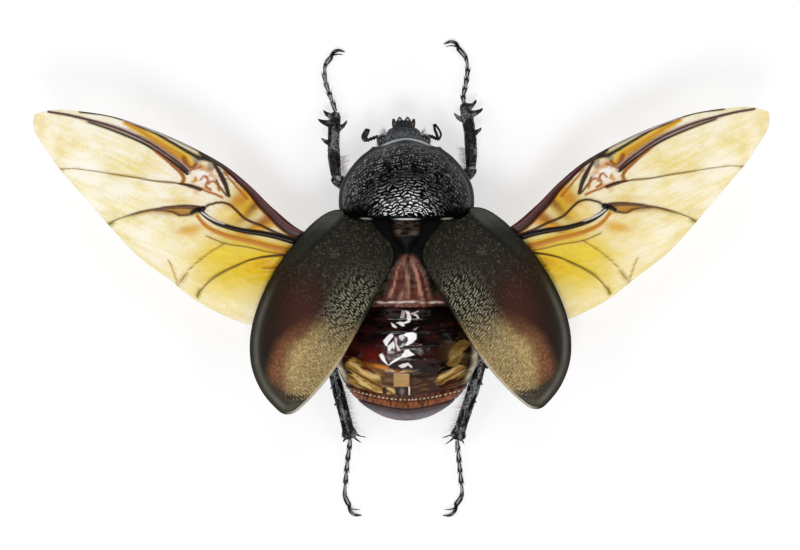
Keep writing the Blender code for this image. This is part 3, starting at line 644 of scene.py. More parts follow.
def build_mouth(finish):
    """The two lobes of the jaws beside the lip."""
    lobe = ((1.6, -26.6, 6.7), (1.65, -27.4, 6.8), (1.75, -28.2, 6.8), (1.85, -28.95, 6.9))
    for label, side in SIDES.items():
        stops = np.column_stack([sided(lobe, side) + (HEAD_LEAN, 0, 0), (0.4, 0.36, 0.38, 0.2)])
        points, faces = limb(stops, 40, sides=32, flat=0.85)
        patch = spot(points[:, 0], points[:, 1], (HEAD_LEAN + 1.62 * side, -28.0), (0.16, 0.42))
        tint = layered(rgb("1c0f0a"), ((fractal(points, 0.5, 26), "3a1c10"),
                                       (soft(patch, 0.3, 0.8) * 0.9, "c49a7c")))
        piece("jaw_" + label, (points, faces), finish, "jaw_chitin", ("mandible_" + label,),
              0.04 * fractal(points, 0.4, 25), tint=tint, dull=0)


def build_eyes(finish):
    """The two eyes, whose facets are a fine even net."""
    wide, long, high = 1.15, 1.35, 1.2
    for label, side in SIDES.items():
        centre = np.array([3.75 * side + HEAD_LEAN, -24.9, 7.5])
        turn = np.linspace(0.02, math.pi - 0.02, 46)
        path = centre + np.outer(np.cos(turn), (0, long, 0))
        points, faces = tube(path, wide * np.sin(turn), high * np.sin(turn), sides=80)
        facets = net(points, 0.16, 33)
        piece("eye_skin_" + label, (points, faces), finish, "eye_surface", ("eye_" + label,),
              0.018 * facets, tint=painted(rgb("1a1210"), facets, "3a2620"), dull=0)


def build_feelers(finish):
    """The feelers: a jointed stalk and a club of three leaves, folded on the left, open on the right."""
    stalk = {"left": [(3.6, -25.6, 6.2), (5.3, -25.7, 6.5), (6.2, -25.4, 6.7), (7.3, -25.0, 6.8)],
             "right": [(3.4, -25.9, 6.2), (4.4, -25.8, 6.5), (5.4, -25.4, 6.7), (6.0, -25.3, 6.8)]}
    club = {"left": [(7.3, -24.9, 6.8), (7.6, -25.6, 6.9), (7.3, -26.4, 6.9), (6.95, -27.1, 6.9)],
            "right": [(5.9, -25.3, 6.8), (6.05, -26.1, 6.9), (5.7, -27.0, 6.9), (4.95, -28.0, 6.9)]}
    # How far each leaf stands to the side, and how much of that its tip is drawn back
    leaves = {"left": ((-0.18, 0.0), (0.02, 0.0), (0.2, 0.1)),
              "right": ((-0.62, 1.0), (-0.5, 1.0), (0.18, 0.0))}
    girth = {"left": (0.3, 0.36, 0.36, 0.28), "right": (0.2, 0.19, 0.18, 0.2)}
    for label, side in SIDES.items():
        fine = smooth_path(sided(stalk[label], side), 60)
        share = np.linspace(0, 1, len(fine))
        beads = np.sin(share * 7 * 2 * math.pi) * soft(share, 0.25, 0.5)
        width = 0.30 + 0.08 * beads
        parts = [tube(fine, width, width, sides=22)]
        for k, (shift, drawn) in enumerate(leaves[label]):
            path = sided(club[label], side)
            path[:, 0] += shift * side * np.array([0.3, 1, 1, 1 - drawn])
            path[:, 2] += (k - 1) * 0.28
            stops = np.column_stack([path, girth[label]])
            parts.append(limb(stops, 40, sides=22, flat=0.9))
        points, faces = joined(parts)
        tint = painted(rgb("070606"), soft(fractal(points, 0.6, 41), 0.5, 0.8), "4a3a34")
        piece("feeler_" + label, (points, faces), finish, "leg_chitin", ("antenna_" + label,),
              0.03 * fractal(points, 0.25, 42), tint=tint, dull=0)


def build_scutellum(finish):
    """The small three-cornered plate, grained and brownish in front and smooth at its tip."""
    half = ((0, -10.6), (2.9, -10.4), (3.0, -9.2), (2.5, -7.2), (1.3, -5.2), (0, -3.9))
    count, rings = GRIDS["scutellum"]
    outline = smooth_path(mirrored(half), count, closed=True)

    def top(x, y, out):
        return 15.6 + eased(y, ((-10.6, 1.9), (-7, 1.7), (-3.9, 0.7))) * (1 - out ** 2.6) ** 0.6

    def bottom(x, y, out):
        return 15.3 - 1.4 * (1 - out ** 2.6) ** 0.6

    points, faces = pebble(outline, (0, -7.6), rings, top, bottom)
    x, y = points.T[:2]
    front = soft(y, -6.4, -8.2)
    brown = soft(y, -7.4, -8.0) * soft(np.abs(x), 2.6, 1.4)
    brown = brown * soft(fractal(points, (1.4, 0.5, 1), 52), 0.4, 0.7)
    tint = layered(rgb("050506"), ((front * 0.6, "15120f"), (brown * 0.8, "5e4c3e")))
    piece("scutellum_skin", (points, faces), finish, "shield_chitin", ("scutellum",),
          front * 0.07 * net(points, 0.5, 51), tint=tint, dull=0.25)


# Thorax and abdomen

def squared(turn, power):
    """How far out and how far up the places of a ring lie, where a higher power gives it squarer corners."""
    out, up = np.cos(turn), np.sin(turn)
    return np.sign(out) * np.abs(out) ** (2 / power), np.sign(up) * np.abs(up) ** (2 / power)


def trunk_ring(y, reach, lift, half, top, brim, bottom):
    """One upright ring across the body, arched above its widest line and flatter below it."""
    z = np.where(lift > 0, brim + (top - brim) * lift, brim + (brim - bottom) * lift)
    return np.column_stack([half * reach, np.broadcast_to(y, len(reach)), z])


def build_thorax(finish):
    """The hind thorax, with a furrowed back between two ridges and plated sides below, a pale midline partly
    painted glint, and a painted highlight on its step.
    """
    count, steps = GRIDS["thorax"]
    reach, lift = squared(np.arange(count) * 2 * math.pi / count, 2.2)
    rings = []
    for y in np.linspace(-14.0, TRUNK_END, steps):
        half = eased(y, ((-14, 7.5), (-10, 9.6), (-6, 11.0), (0, 12.2), (TRUNK_END, 12.7)))
        top = eased(y, ((-14, 13.0), (-10, 15.6), (-6, 16.0), (0, 15.4), (TRUNK_END, 15.0)))
        bottom = eased(y, ((-14, 5.0), (-9, 3.8), (-2, 3.4), (TRUNK_END, 3.6)))
        rings.append(trunk_ring(y, reach, lift, half, top, 9.6, bottom))
    points, faces = rings_mesh(rings)
    x, y, z = points.T
    up = soft(z, 11.5, 13.5)
    wide = eased(y, ((-4.2, 1.2), (-1.0, 3.0), (2.2, 3.9), (TRUNK_END, 4.4)))
    off = x - FURROW
    middle = soft(np.abs(off), wide + 0.3, wide - 0.3) * soft(y, -5.0, -4.0)
    rows = off / wide * 4.5 + 0.7 * fractal(points, 2.5, 60)
    lines = ridges(np.column_stack([rows, y / 7.0]), 1.0, 61)
    walls = bell(np.abs(off) - wide, 0.3, 0.4) * soft(y, 4.4, 3.2)
    creases = fractal(points, (1.6, 0.8, 1.2), 62)
    step = bell(y - 4.35 + 0.5 * noise(points, 1.4, 64), 0, 0.2)
    ends = soft(np.abs(x), 7.0, 5.5) * soft(noise(points, 0.9, 63), 0.25, 0.7)
    front = soft(y, -3.6, -4.8)
    relief = up * (-0.2 * bell(x, 0, 0.3) * soft(y, -3, -1) + 0.2 * lines * middle + 0.25 * walls
                   + 0.35 * creases + 0.35 * step) + (1 - up) * 0.12 * creases
    tint = layered(rgb("15100c"), (
        (up * soft(creases, 0.35, 0.7) * soft(y, -4, -1), "3e3828"),
        (up * middle, "5a2a1c"),
        (up * middle * soft(lines, 0.5, 0.9) * soft(np.abs(off), wide, wide - 0.8) * 0.7, "cc9480"),
        (up * middle * soft(lines, 0.4, 0.15) * 0.8, "1c0a06"),
        (up * bell(np.abs(off), 0.7, 0.16) * soft(y, -3, -1) * 0.7, "1c0a06"),
        # a pale line down the middle: partly its own colour, partly a painted glint
        (up * bell(off, 0, 0.13) * soft(y, -1.5, 0) * 0.7, "d8b48c"),
        (up * middle * soft(y, -1.4, -3.4) * 0.6, "3a140e"),
        (up * soft(y, 2.4, 3.4) * soft(creases, 0.3, 0.6) * 0.8, "4a1810"),
        # a painted highlight along the step to the abdomen
        (up * step * ends, "f0dcd0"),
        (front, "020202"),
        (1 - up, "1a110d"),
    ))
    piece("thorax_skin", (points, faces), finish, "thorax_chitin", ("thorax",), relief,
          tint=tint, dull=0.5 * front)


def abdomen_size(y):
    """The abdomen's half width, back, widest line and belly at a place along it."""
    half = eased(y, ((4.8, 12.6), (9, 13.2), (14.3, 13.2), (17.6, 12.0), (20.1, 10.3), (22.3, 8.3),
                     (24.0, 5.9), (24.8, 4.3), (25.25, 2.9), (25.5, 1.6), (REAR, 0.1)))
    top = eased(y, ((4.8, 14.8), (9, 15.4), (14, 14.6), (18, 12.9), (21, 11.0), (24, 8.4), (REAR, 6.6)))
    brim = eased(y, ((4.8, 9.4), (14, 8.8), (20, 7.6), (REAR, 6.4)))
    belly = eased(y, ((4.8, 4.2), (12, 4.4), (19, 4.5), (23, 5.2), (REAR, 6.2)))
    return half, top, brim, belly


# How far the sides of each ring lie forward of its middle, by its place along the midline
BEND = ((4.8, 0.3), (10, 0.8), (15, 1.4), (18, 1.8), (20.9, 1.9), (23.5, 1.8), (REAR, 0.0))
# The wet glints painted down the middle of the back, over facets that are also raised: the outline of each
# crumpled facet, its colour and its share
GLINT_FACETS = (
    (((3.8, 13.5), (0.7, 13.2), (1.2, 13.8), (3.1, 15.0), (3.7, 14.1)), "5e4c50", 0.85),
    (((2.3, 10.3), (0.0, 9.7), (-0.2, 11.0), (0.4, 12.0), (1.9, 12.9), (2.5, 11.6)), "54404a", 0.8),
    (((0.8, 5.5), (0.3, 5.7), (0.3, 6.4), (0.4, 6.9), (1.2, 7.0), (1.0, 6.4)), "c4b4b0", 0.85),
    (((0.3, 5.6), (-0.5, 5.8), (-0.7, 6.3), (-0.9, 7.1), (-0.6, 7.7), (0.0, 7.9), (0.5, 8.0), (0.3, 8.4),
      (0.9, 8.4), (1.4, 8.0), (1.9, 7.8), (1.2, 7.6), (0.4, 7.7), (-0.3, 7.3), (0.0, 7.1),
      (-0.1, 6.4)), "f4f0ee", 0.95),
    (((-0.7, 6.1), (-1.5, 5.9), (-2.1, 5.6), (-2.2, 5.8), (-1.5, 6.1), (-1.0, 6.4)), "e0c8c0", 0.9),
    (((-1.5, 6.1), (-1.9, 6.3), (-2.3, 7.0), (-2.0, 7.1), (-1.7, 6.6), (-1.2, 6.5)), "e8e0de", 0.9),
    (((2.8, 7.8), (2.3, 8.0), (1.7, 8.6), (1.8, 8.8), (2.5, 8.5)), "f6f2f0", 0.95),
    (((-1.2, 9.1), (-1.6, 8.8), (-2.1, 8.6), (-1.6, 9.1)), "c8b8b8", 0.8),
    (((4.2, 11.1), (3.6, 10.4), (3.1, 9.9), (2.6, 9.7), (2.3, 10.2), (2.9, 10.9), (3.4, 11.6), (3.4, 12.0),
      (3.7, 12.0)), "fbf8f6", 1.0),
    (((3.4, 12.0), (2.9, 11.6), (2.4, 11.1), (2.1, 11.6), (2.1, 12.2), (2.3, 12.7), (2.5, 12.3), (2.8, 12.6),
      (3.1, 13.2), (3.4, 12.7)), "f2eeee", 0.95),
    (((2.1, 10.4), (1.7, 10.6), (1.7, 11.6), (1.3, 12.3), (1.0, 12.9), (1.6, 12.9), (1.9, 12.0),
      (2.1, 11.1)), "e0d4d8", 0.9),
    (((0.0, 9.6), (-1.1, 9.5), (-1.8, 9.8), (-1.8, 10.7), (-1.1, 11.4), (-0.2, 11.9), (0.3, 11.9),
      (-0.3, 11.0), (-0.2, 10.4), (0.6, 10.0)), "fbf9f8", 1.0),
    (((1.3, 10.1), (0.7, 9.9), (0.4, 10.4), (0.7, 11.1), (1.2, 10.8), (1.4, 10.3)), "d4d0d8", 0.9),
    (((1.2, 12.1), (0.7, 11.5), (0.3, 11.5), (0.4, 12.0), (1.0, 12.3)), "b8c0b4", 0.9),
    (((4.9, 13.6), (4.4, 13.3), (4.0, 13.8), (3.8, 14.5), (3.4, 15.3), (3.3, 15.6), (4.1, 14.9),
      (4.7, 14.1)), "fbf8f6", 1.0),
    (((3.3, 15.6), (2.8, 14.9), (1.8, 14.2), (1.0, 13.9), (0.8, 13.5), (0.5, 13.2), (0.3, 12.7),
      (-0.4, 12.6), (-0.7, 13.0), (-1.5, 13.6), (-0.6, 13.8), (0.0, 14.0), (0.8, 14.1), (1.8, 14.7),
      (2.9, 15.4)), "f8f4f2", 1.0),
    (((3.6, 12.9), (2.7, 12.8), (1.9, 13.1), (2.3, 13.3), (3.4, 13.4)), "a89ca0", 0.8),
    (((1.5, 15.6), (0.7, 15.3), (-0.3, 15.0), (-1.1, 15.8), (-0.8, 16.0), (-0.3, 15.5), (0.3, 15.9),
      (0.9, 16.0)), "f0e4e4", 0.95),
)
# The golden bands, each a line across the back and how much it shows
GOLD_BANDS = ((((9.8, 15.4), (8.6, 16.8), (7.2, 17.3), (5.6, 17.8)), 0.9),
              (((9.4, 17.9), (8.0, 19.1), (6.4, 19.9), (4.8, 20.5), (2.9, 20.4)), 0.95),
              (((-6.4, 17.8), (-7.6, 17.3), (-8.6, 16.9), (-9.5, 16.4)), 0.8),
              (((-8.6, 14.8), (-9.2, 13.4), (-10.2, 11.8)), 0.5))


def abdomen_skin(places, count):
    """Rings that bow back in the middle, as the plates do, and each point's place along the midline."""
    turn = np.arange(count) * 2 * math.pi / count
    reach, lift = squared(turn + 0.4 * np.cos(turn), 2.1)       # closer together along the back
    rings = []
    for place in places:
        y = place - eased(place, BEND) * reach ** 2
        rings.append(trunk_ring(y, reach, lift, *abdomen_size(y)))
    points, faces = rings_mesh(rings)
    return points, faces, np.concatenate([[places[0]], np.repeat(places, count), [places[-1]]])


def plate_share(place):
    """How far along its own plate each place lies, from 0 at the front to 1 at the rear edge."""
    edges = np.array((TRUNK_END,) + PLATE_ENDS)
    i = np.clip(np.searchsorted(edges, place) - 1, 0, len(edges) - 2)
    return np.clip((place - edges[i]) / (edges[i + 1] - edges[i]), 0, 1)


def back_paint(points, place):
    """The back's colours: near-black plates with painted wet glints, golden bands at the sides and rear."""
    x, y, z = points.T
    up = soft(z, 8.5, 9.8)
    blots = fractal(points, (2.4, 0.9, 2.0), 74)
    streaks = fractal(np.column_stack([x / 1.6, place / 0.32]), 1.0, 75)
    rear = soft(place, 16.8, 18.4)
    tint = layered(rgb("0a0505"), (
        (soft(blots, 0.45, 0.7) * 0.8, "2a0e0b"),
        (soft(streaks, 0.55, 0.75) * soft(y, 5, 7) * 0.4, "3c1812"),
        (spot(x, y, (5.8, 13.6), (3.0, 1.6)) * (0.3 + blots), "561610"),
        (spot(x, y, (6.5, 16.2), (4.0, 0.9), -12) * (0.4 + blots), "5a1e10"),
        (spot(x, y, (4.4, 15.9), (2.4, 0.35), -14) * soft(blots, 0.25, 0.5) * 1.4, "c0701c"),
        (spot(x, y, (1.2, 16.6), (2.6, 0.35), -6) * soft(streaks, 0.4, 0.6), "c8a070"),
        (rear * (0.5 + 0.5 * blots), "3c1e10"),
        (rear * soft(streaks, 0.5, 0.7) * 0.5, "7a5028"),
        (rear * soft(x, 5.5, 3.0) * soft(x, 1.5, 2.5) * soft(y, 19.0, 18.4) * 0.5, "8c6a44"),
        (spot(x, y, (-9.2, 13.4), (2.2, 3.2), 20) * soft(blots, 0.35, 0.55), "4a3c20"),
    ))
    slant = np.column_stack([0.5 * y - 0.87 * np.abs(x), 0.5 * np.abs(x) + 0.87 * y])
    folds = fractal(slant, (2.6, 0.55), 85)
    for band, shown in GOLD_BANDS:
        apart = along_line(x, y, smooth_path(band, 24))[0]
        inside = soft(apart + 1.8 * (folds - 0.5), 1.4, 0.85) * shown
        tint = layered(tint, ((inside, "a07c3c"),
                              (inside * soft(folds, 0.5, 0.72) * shown, "e0c080"),
                              (inside * soft(folds, 0.44, 0.34) * 0.85, "4a2a12")))
    ribs = soft(noise(np.column_stack([x / 0.3, place / 3.0]), 1.0, 83), 0.55, 0.75)
    sides = soft(np.abs(x) / abdomen_size(y)[0], 0.87, 0.95) * soft(y, 10.5, 12.5) * soft(y, 19.5, 17.0)
    tint = layered(tint, (
        (block(x, y, (3.9, 20.3), (1.6, 0.9), (1.3, 0.7)) * ribs, "2c140a"),
        (block(x, y, (0.9, 18.2), (1.5, 1.25), (1.3, 1.1)) * (0.6 + 0.5 * blots), "b8925c"),
        (block(x, y, (0.8, 20.4), (1.2, 1.0), (1.05, 0.85)), "1c0e0a"),
        (spot(x, y, (0.8, 20.3), (0.42, 0.6)) * 0.9, "8a7470"),
        (block(x, y, (-0.5, 20.4), (0.18, 1.1), (0.08, 0.9)), "e6dab8"),
        (sides * (0.3 + 0.7 * noise(points, 0.7, 76)), "d8ccaa"),
    ))
    glints = [(filled(x, y, corners, 0.08) * share, code) for corners, code, share in GLINT_FACETS]
    return layered(tint, [*glints, (1 - up, "1e0d09")])


def build_abdomen(finish):
    """The abdomen's plates, each stepping down to the next, with crumpled wet-looking facets."""
    count, steps = GRIDS["abdomen"]
    points, faces, place = abdomen_skin(np.linspace(TRUNK_END + 0.1, RUMP_START + 0.15, steps), count)
    x, y, z = points.T
    share = plate_share(place)
    step = 0.2 * share ** 2 - 0.18 * soft(share, 0.8, 1.0)
    warp = fractal(points, 1.4, 77) * 1.6
    creased = crumpled(x / 1.15 + warp, place / 0.95 - warp, 78)
    fold = fractal(np.column_stack([x / 3.2, place / 0.9]), 1.0, 72)
    swell = fractal(points, (3.0, 1.6, 3.0), 73)
    foil = sum(filled(x, y, facet[0], 0.15) for facet in GLINT_FACETS)
    relief = step + soft(z, 9.0, 10.5) * (0.04 * fold + 0.2 * (swell - 0.5) + 0.05 * creased) - 0.25
    relief += 0.12 * np.clip(foil, 0, 1) * (0.5 + 0.5 * creased)
    piece("abdomen_skin", (points, faces), finish, "abdomen_chitin", ("abdomen",), relief,
          tint=back_paint(points, place), dull=0)


def build_pygidium(finish):
    """The last plate: a beaded pale arc, an orange-brown band, a dark line, and a lilac-grey rim that is a
    painted reflection.
    """
    count, steps = GRIDS["rump"]
    stops = np.concatenate([np.linspace(RUMP_START - 0.35, REAR - 0.6, steps),
                            np.linspace(REAR - 0.55, REAR, RUMP_TIP_RINGS)])
    points, faces, place = abdomen_skin(stops, count)
    x, y, z = points.T
    grain = fractal(points, (0.35, 1.6, 1.0), 81)
    spaced = 0.5 + 0.5 * np.cos(2 * math.pi * (x / 0.75 + 0.8 * noise(points, 2.0, 84)))
    beads = soft(spaced * (0.3 + noise(points, 0.8, 82)), 0.25, 0.5)
    pale = bell(place, 21.7, 0.11)
    line = bell(place, 23.5, 0.2)
    brim = abdomen_size(y)[2]
    tint = layered(rgb("3a1a0e"), (
        (soft(place, 21.8, 22.5) * soft(grain, 0.2, 0.65) * 0.9, "9a5c38"),
        (soft(place, 22.3, 21.9) * soft(grain, 0.45, 0.6) * 0.7, "6e3a20"),
        (soft(place, 22.9, 23.4) * 0.7, "4a1c10"),
        (pale * beads * 0.9, "dcd0ac"),
        # the lilac-grey rim: a painted reflection of the pale surroundings
        (soft(place, 23.6, 23.9), "4c4448"),
        (soft(place, 24.0, 25.0) * 0.8, "80787c"),
        (line, "120807"),
        # the rim at the tip, also a painted reflection
        (soft(place, REAR - 0.35, REAR - 0.1), "5a4a44"),
        (soft(z, brim - 0.5, brim - 1.0), "1e0d09"),
    ))
    relief = 0.10 * pale * beads - 0.12 * line + 0.06 * grain
    relief -= 0.35 * soft(place, 21.15, 20.9)
    piece("rump_skin", (points, faces), finish, "abdomen_chitin", ("pygidium",), relief,
          tint=tint, dull=0.15 * soft(place, 23.3, 23.6))


# Wing cases

CASE_OUTLINE = ((-2.4, 5.4), (-1.2, 7.4), (2.0, 9.4), (5.5, 10.6), (9.3, 11.7), (14.2, 12.5),
                (18.7, 12.6), (22.6, 12.2), (26.2, 11.2), (29.9, 9.2), (33.0, 6.0), (34.8, 2.5),
                (35.2, 0.7), (34.5, -0.7), (32.2, -2.0), (29.0, -3.2), (25.5, -4.2), (20.1, -5.2),
                (14.2, -5.8), (8.0, -6.3), (3.6, -6.6), (1.2, -6.2), (-0.4, -4.8), (-2.0, -2.5), (-2.8, 1.2))


def case_edge(s, t):
    """The height of a wing case's edge, s along the case and t out across it."""
    along = eased(s, ((-2.6, 14.2), (2, 15.6), (8, 16.6), (18, 16.2), (28, 14.6), (34.6, 12.6)))
    return along - 0.2 * t * eased(s, ((-2.6, 0.5), (6, 1.0), (26, 1.0), (34.6, 0.4)))


def case_paint(s, t, edge, crest, rough, speck):
    """The wing case's colours, from the olive-black shoulder to the golden field near its tip, with painted
    glints, shade, sheen and reflections.
    """
    flat = np.column_stack([s, t])
    grain = noise(flat, 0.2, 97)
    cloud = fractal(flat, 3.0, 96)
    outer = eased(s, ((10, -4.0), (18.6, 4.8), (25, 7.0), (32, 6.6)))
    inner = eased(s, ((10, -6.5), (18.7, 2.0), (24.2, 3.9), (30.4, 2.4), (34, 0.0)))
    tip = soft(s - 0.45 * np.minimum(t, 0), 32.6, 30.2)
    orange = soft(outer - t + 0.8 * (cloud - 0.5), -0.8, 1.8) * tip * soft(s, 14, 27)
    # The golden field near the tip: partly the case's own colour, partly a painted satin sheen
    bronze_sheen = soft(inner - t + 1.4 * (cloud - 0.5), -1.4, 2.0) * tip * soft(s, 12, 24)
    # How bright the painted glints on the wrinkles' crests are
    glow = (0.35 + 0.65 * soft(s, 4, 14)) * (1 - 0.7 * bronze_sheen)
    shoulder = soft(t - 6.7 - 0.36 * (s - 3.6), -0.2, 0.5) * soft(s, 12, 5)
    rim = soft(edge, 3.0, 1.0) * soft(s, 11, 22) * soft(t, -1.5, 2.0)
    return layered(rgb("1d1b15"), (
        (spot(s, t, (16.5, 6.0), (11.0, 5.5), -12), "2f1810"),
        (spot(s, t, (18.0, 4.4), (7.0, 3.2), -16) * 0.9, "42221a"),
        (orange * 0.9, "7a4a32"),
        # the golden field and its grit: its own colour and a painted satin sheen
        (bronze_sheen * 0.97, "a88f5c"),
        (np.maximum(bronze_sheen, 0.25 * orange) * soft(grain, 0.45, 0.85) * 0.6, "dcc288"),
        (np.maximum(bronze_sheen, orange) * soft(grain, 0.36, 0.12) * 0.4, "5c4626"),
        (soft(s, 14, 6) * 0.7, "2c2a23"),
        # painted glints on the wrinkles' crests
        (rough * crest * glow * 0.66, "ccc8a4"),
        # painted shade between the wrinkles
        (rough * soft(crest, 0.35, 0.05) * (0.8 - 0.4 * bronze_sheen), "0f0e08"),
        ((1 - rough) * soft(s, 20, 6) * soft(grain, 0.62, 0.9) * 0.28, "8c8570"),
        ((1 - rough) * soft(s, 16, 4) * soft(speck, 0.4, 0.0) * 0.4, "0b0b08"),
        # a painted highlight along the shoulder ridge
        (shoulder * 0.75, "2b2d27"),
        (shoulder * soft(s, 4.0, -1.0) * 0.8, "585a52"),
        # painted shade in the groove inside the shoulder ridge
        (spot(s, t, (3.6, 6.9), (5.6, 0.5), 24) * 0.7, "0e0e0b"),
        # a grey band along the outer edge: a painted reflection of the pale surroundings
        (rim * 0.85, "2c2a22"),
        (soft(s + 0.35 * np.abs(t - 1), 31.0, 33.2) * 0.85, "3c362c"),
        # a lighter line in that band, also a painted reflection
        (rim * bell(edge, 1.15, 0.5) * (0.3 + 0.7 * cloud), "6c6a60"),
        (soft(edge, 0.26, 0.14), "040303"),
        # a painted highlight along the inner edge toward the tip
        (soft(edge, 0.42, 0.3) * soft(t, 0.8, -1.2) * soft(s, 19, 25) * 0.8, "c8beac"),
    ))


def case_grid(outline, rings, over, under):
    """The rings along a wing case in its own plan, each out across its top and back below."""
    first, last = np.argmin(outline[:, 0]), np.argmax(outline[:, 0])
    if first > last:
        outline = np.roll(outline, -first, axis=0)
        first, last = 0, int(np.argmax(outline[:, 0]))
    outer = outline[first:last + 1]
    inner = np.vstack([outline[last:], outline[:first + 1]])[::-1]
    along = np.linspace(0, 1, rings + 2)[1:-1]
    along = along - 0.13 * np.sin(2 * math.pi * along)
    made = []
    for s in outline[first, 0] + along * (outline[last, 0] - outline[first, 0]):
        far = np.interp(s, outer[:, 0], outer[:, 1])
        near = np.interp(s, inner[:, 0], inner[:, 1])
        turn = np.linspace(0, 1, over)
        turn = turn - 0.1 * np.sin(2 * math.pi * turn)
        across = near + (far - near) * turn
        back = near + (far - near) * np.linspace(1, 0, under + 2)[1:-1]
        made.append(np.column_stack([np.full(over + under, s), np.concatenate([across, back])]))
    return made


def case_share(flat, outline):
    """How far each place of a wing case lies from its crown, as a share of the way to its edge."""
    away = outline - CASE_MIDDLE
    bearing = np.arctan2(away[:, 1], away[:, 0])
    order = np.argsort(bearing)
    offset = flat - CASE_MIDDLE
    reach = np.interp(np.arctan2(offset[:, 1], offset[:, 0]), bearing[order],
                      np.hypot(*away.T)[order], period=2 * math.pi)
    return np.clip(np.hypot(*offset.T) / reach, 0, 1)


def case_crests(flat):
    """A wing case's short wrinkles, in rows that lean from straight across it."""
    s, t = flat.T
    lean = math.radians(WRINKLE_LEAN)
    u = s * math.cos(lean) + t * math.sin(lean)
    v = t * math.cos(lean) - s * math.sin(lean)
    row, stroke = WRINKLES["case"]
    crest = dashes(u / row + 2.2 * fractal(flat, 1.7, 92), v / stroke + 1.1 * fractal(flat, 1.5, 94), 93)
    return crest * (0.5 + 0.5 * soft(noise(flat, 0.9, 95), 0.1, 0.5))


def build_case(label, finish):
    """One wing case: velvety, with a shoulder ridge, wrinkles along its inner edge and fine pits."""
    swing = math.radians(CASE_SWING[label])
    root = np.array(CASE_ROOT[label])
    outline = smooth_path(CASE_OUTLINE, 900, closed=True)
    over, rings = GRIDS["case"]
    around = over + CASE_UNDER
    flat = np.vstack(case_grid(outline, rings, over, CASE_UNDER))
    out = case_share(flat, outline)
    s, t = flat.T
    z = case_edge(s, t) + CASE_CROWN * (1 - out ** 2.6) ** 0.75
    below = np.tile(np.arange(around) >= over, rings)
    z[below] -= CASE_THICK * (1 - 0.3 * out[below] ** 8)
    edge = from_edge(s, t, outline[::5])
    crest = case_crests(flat)
    speck = 1 - soft(net(flat, 0.42, 91), 0.04, 0.3)
    near = soft(t + 1.2 * (fractal(flat, 3.0, 96) - 0.5) - 0.06 * s, 2.2, -2.2)
    rough = near * soft(s, 2.0, 9.0) * soft(edge, 0.3, 0.8)
    relief = rough * 0.13 * crest * soft(s, 34, 22) + (1 - rough) * 0.03 * speck * soft(s, 24, 8)
    relief += 0.4 * spot(s, t, (3.2, 8.2), (5.2, 1.3), 24) - 0.3 * spot(s, t, (3.6, 6.9), (6.0, 0.5), 24)
    relief = relief + 0.12 * bell(edge, 0.12, 0.18) - 0.08 * bell(edge, 0.55, 0.2)
    relief[below] = 0
    tint = case_paint(s, t, edge, crest, rough, speck)
    tint[below] = rgb("4a2a18")
    x = root[0] + s * math.sin(swing) + t * math.cos(swing)
    y = root[1] + s * math.cos(swing) - t * math.sin(swing)
    placed = sided(np.column_stack([x, y, z]), SIDES[label]).reshape(rings, around, 3)

    def capped(values):
        return np.concatenate([values[:1], values, values[-1:]])

    piece("case_" + label, rings_mesh(list(placed)), finish, "wing_case", ("elytron_" + label,),
          capped(relief), tint=capped(tint), dull=capped(0.1 * (1 - rough)))


# Hind wings

LEADING = ((9.8, -6.6), (18.4, -8.5), (23.8, -12.6), (28.1, -16.8), (32.3, -20.2), (36.8, -22.8),
           (42.2, -25.4), (47.6, -27.5), (52.5, -29.0), (58.4, -29.9), (63.7, -30.1), (66.4, -29.3))
RADIUS = ((9.9, -5.8), (18.9, -7.1), (24.5, -10.4), (28.5, -13.8), (32.5, -17.0), (36.2, -19.0),
          (40.3, -20.6), (45.9, -23.7), (51.2, -26.0), (58.4, -28.4), (66.6, -28.6))
MEDIA = ((10.0, -5.3), (19.0, -6.6), (28.3, -10.0), (31.9, -13.3), (36.6, -15.9), (39.8, -16.9),
         (49.4, -18.3), (61.9, -19.6))
CUBITUS = ((10.1, -4.7), (19.0, -6.2), (26.2, -7.9), (32.4, -9.2), (37.3, -12.3), (41.4, -12.6),
           (46.7, -12.1), (53.4, -9.8))
ANAL = ((10.4, -2.6), (15.8, -4.0), (21.2, -4.1), (27.1, -3.6), (32.4, -1.6), (36.4, 1.1), (37.8, 3.8))
TRAILING = ((10.9, 1.6), (14.0, 4.8), (18.5, 7.6), (24.0, 8.8))
MARGIN = ((66.4, -29.3), (66.5, -27.0), (64.1, -22.7), (61.9, -19.6), (58.4, -15.6), (53.4, -9.8),
          (48.5, -4.5), (42.3, 0.3), (37.8, 3.8), (33.3, 6.3), (28.3, 8.2), (24.0, 8.8))
RAILS = (LEADING, RADIUS, MEDIA, CUBITUS, ANAL, TRAILING)
PANEL_STEPS = (21, 48, 48, 60, 60)      # columns between each rail and the next
WING_ROWS = 330
MARGIN_STEPS = 1200                     # the steps in which the margin is walked
COARSE = 3                              # the underside has one row and column to this many on top

COSTA = ((58.3, -29.8), (53.8, -29.3), (50.6, -28.6), (47.3, -27.6), (43, -26), (39.8, -24.5),
         (36.9, -23), (35.3, -21.7), (33.9, -21.1), (32, -19.8), (30, -18), (27.6, -16), (25.8, -14),
         (24, -12.2), (22.2, -10.4), (20.4, -9.1), (16.4, -7.9), (10.5, -6.4))
SUBCOSTA = ((50, -28.2), (47.3, -27), (45.2, -26.2), (43, -25), (40.9, -23.8), (38.7, -22.5),
            (36.9, -21.6), (35.5, -21.4))
RADIUS_FORE = ((63.8, -29.8), (60.2, -29.2), (56.8, -28.4), (53.8, -27.6), (50.6, -26.5), (47.4, -25.1),
               (45.2, -23.9), (43, -22.4), (40.9, -20.9), (39.1, -19.3))
RADIUS_REAR = ((56.8, -28), (53.8, -27), (50.6, -25.8), (47.4, -24.4), (45.2, -23.2), (43, -21.7),
               (40.9, -20.2), (39.2, -18.8))
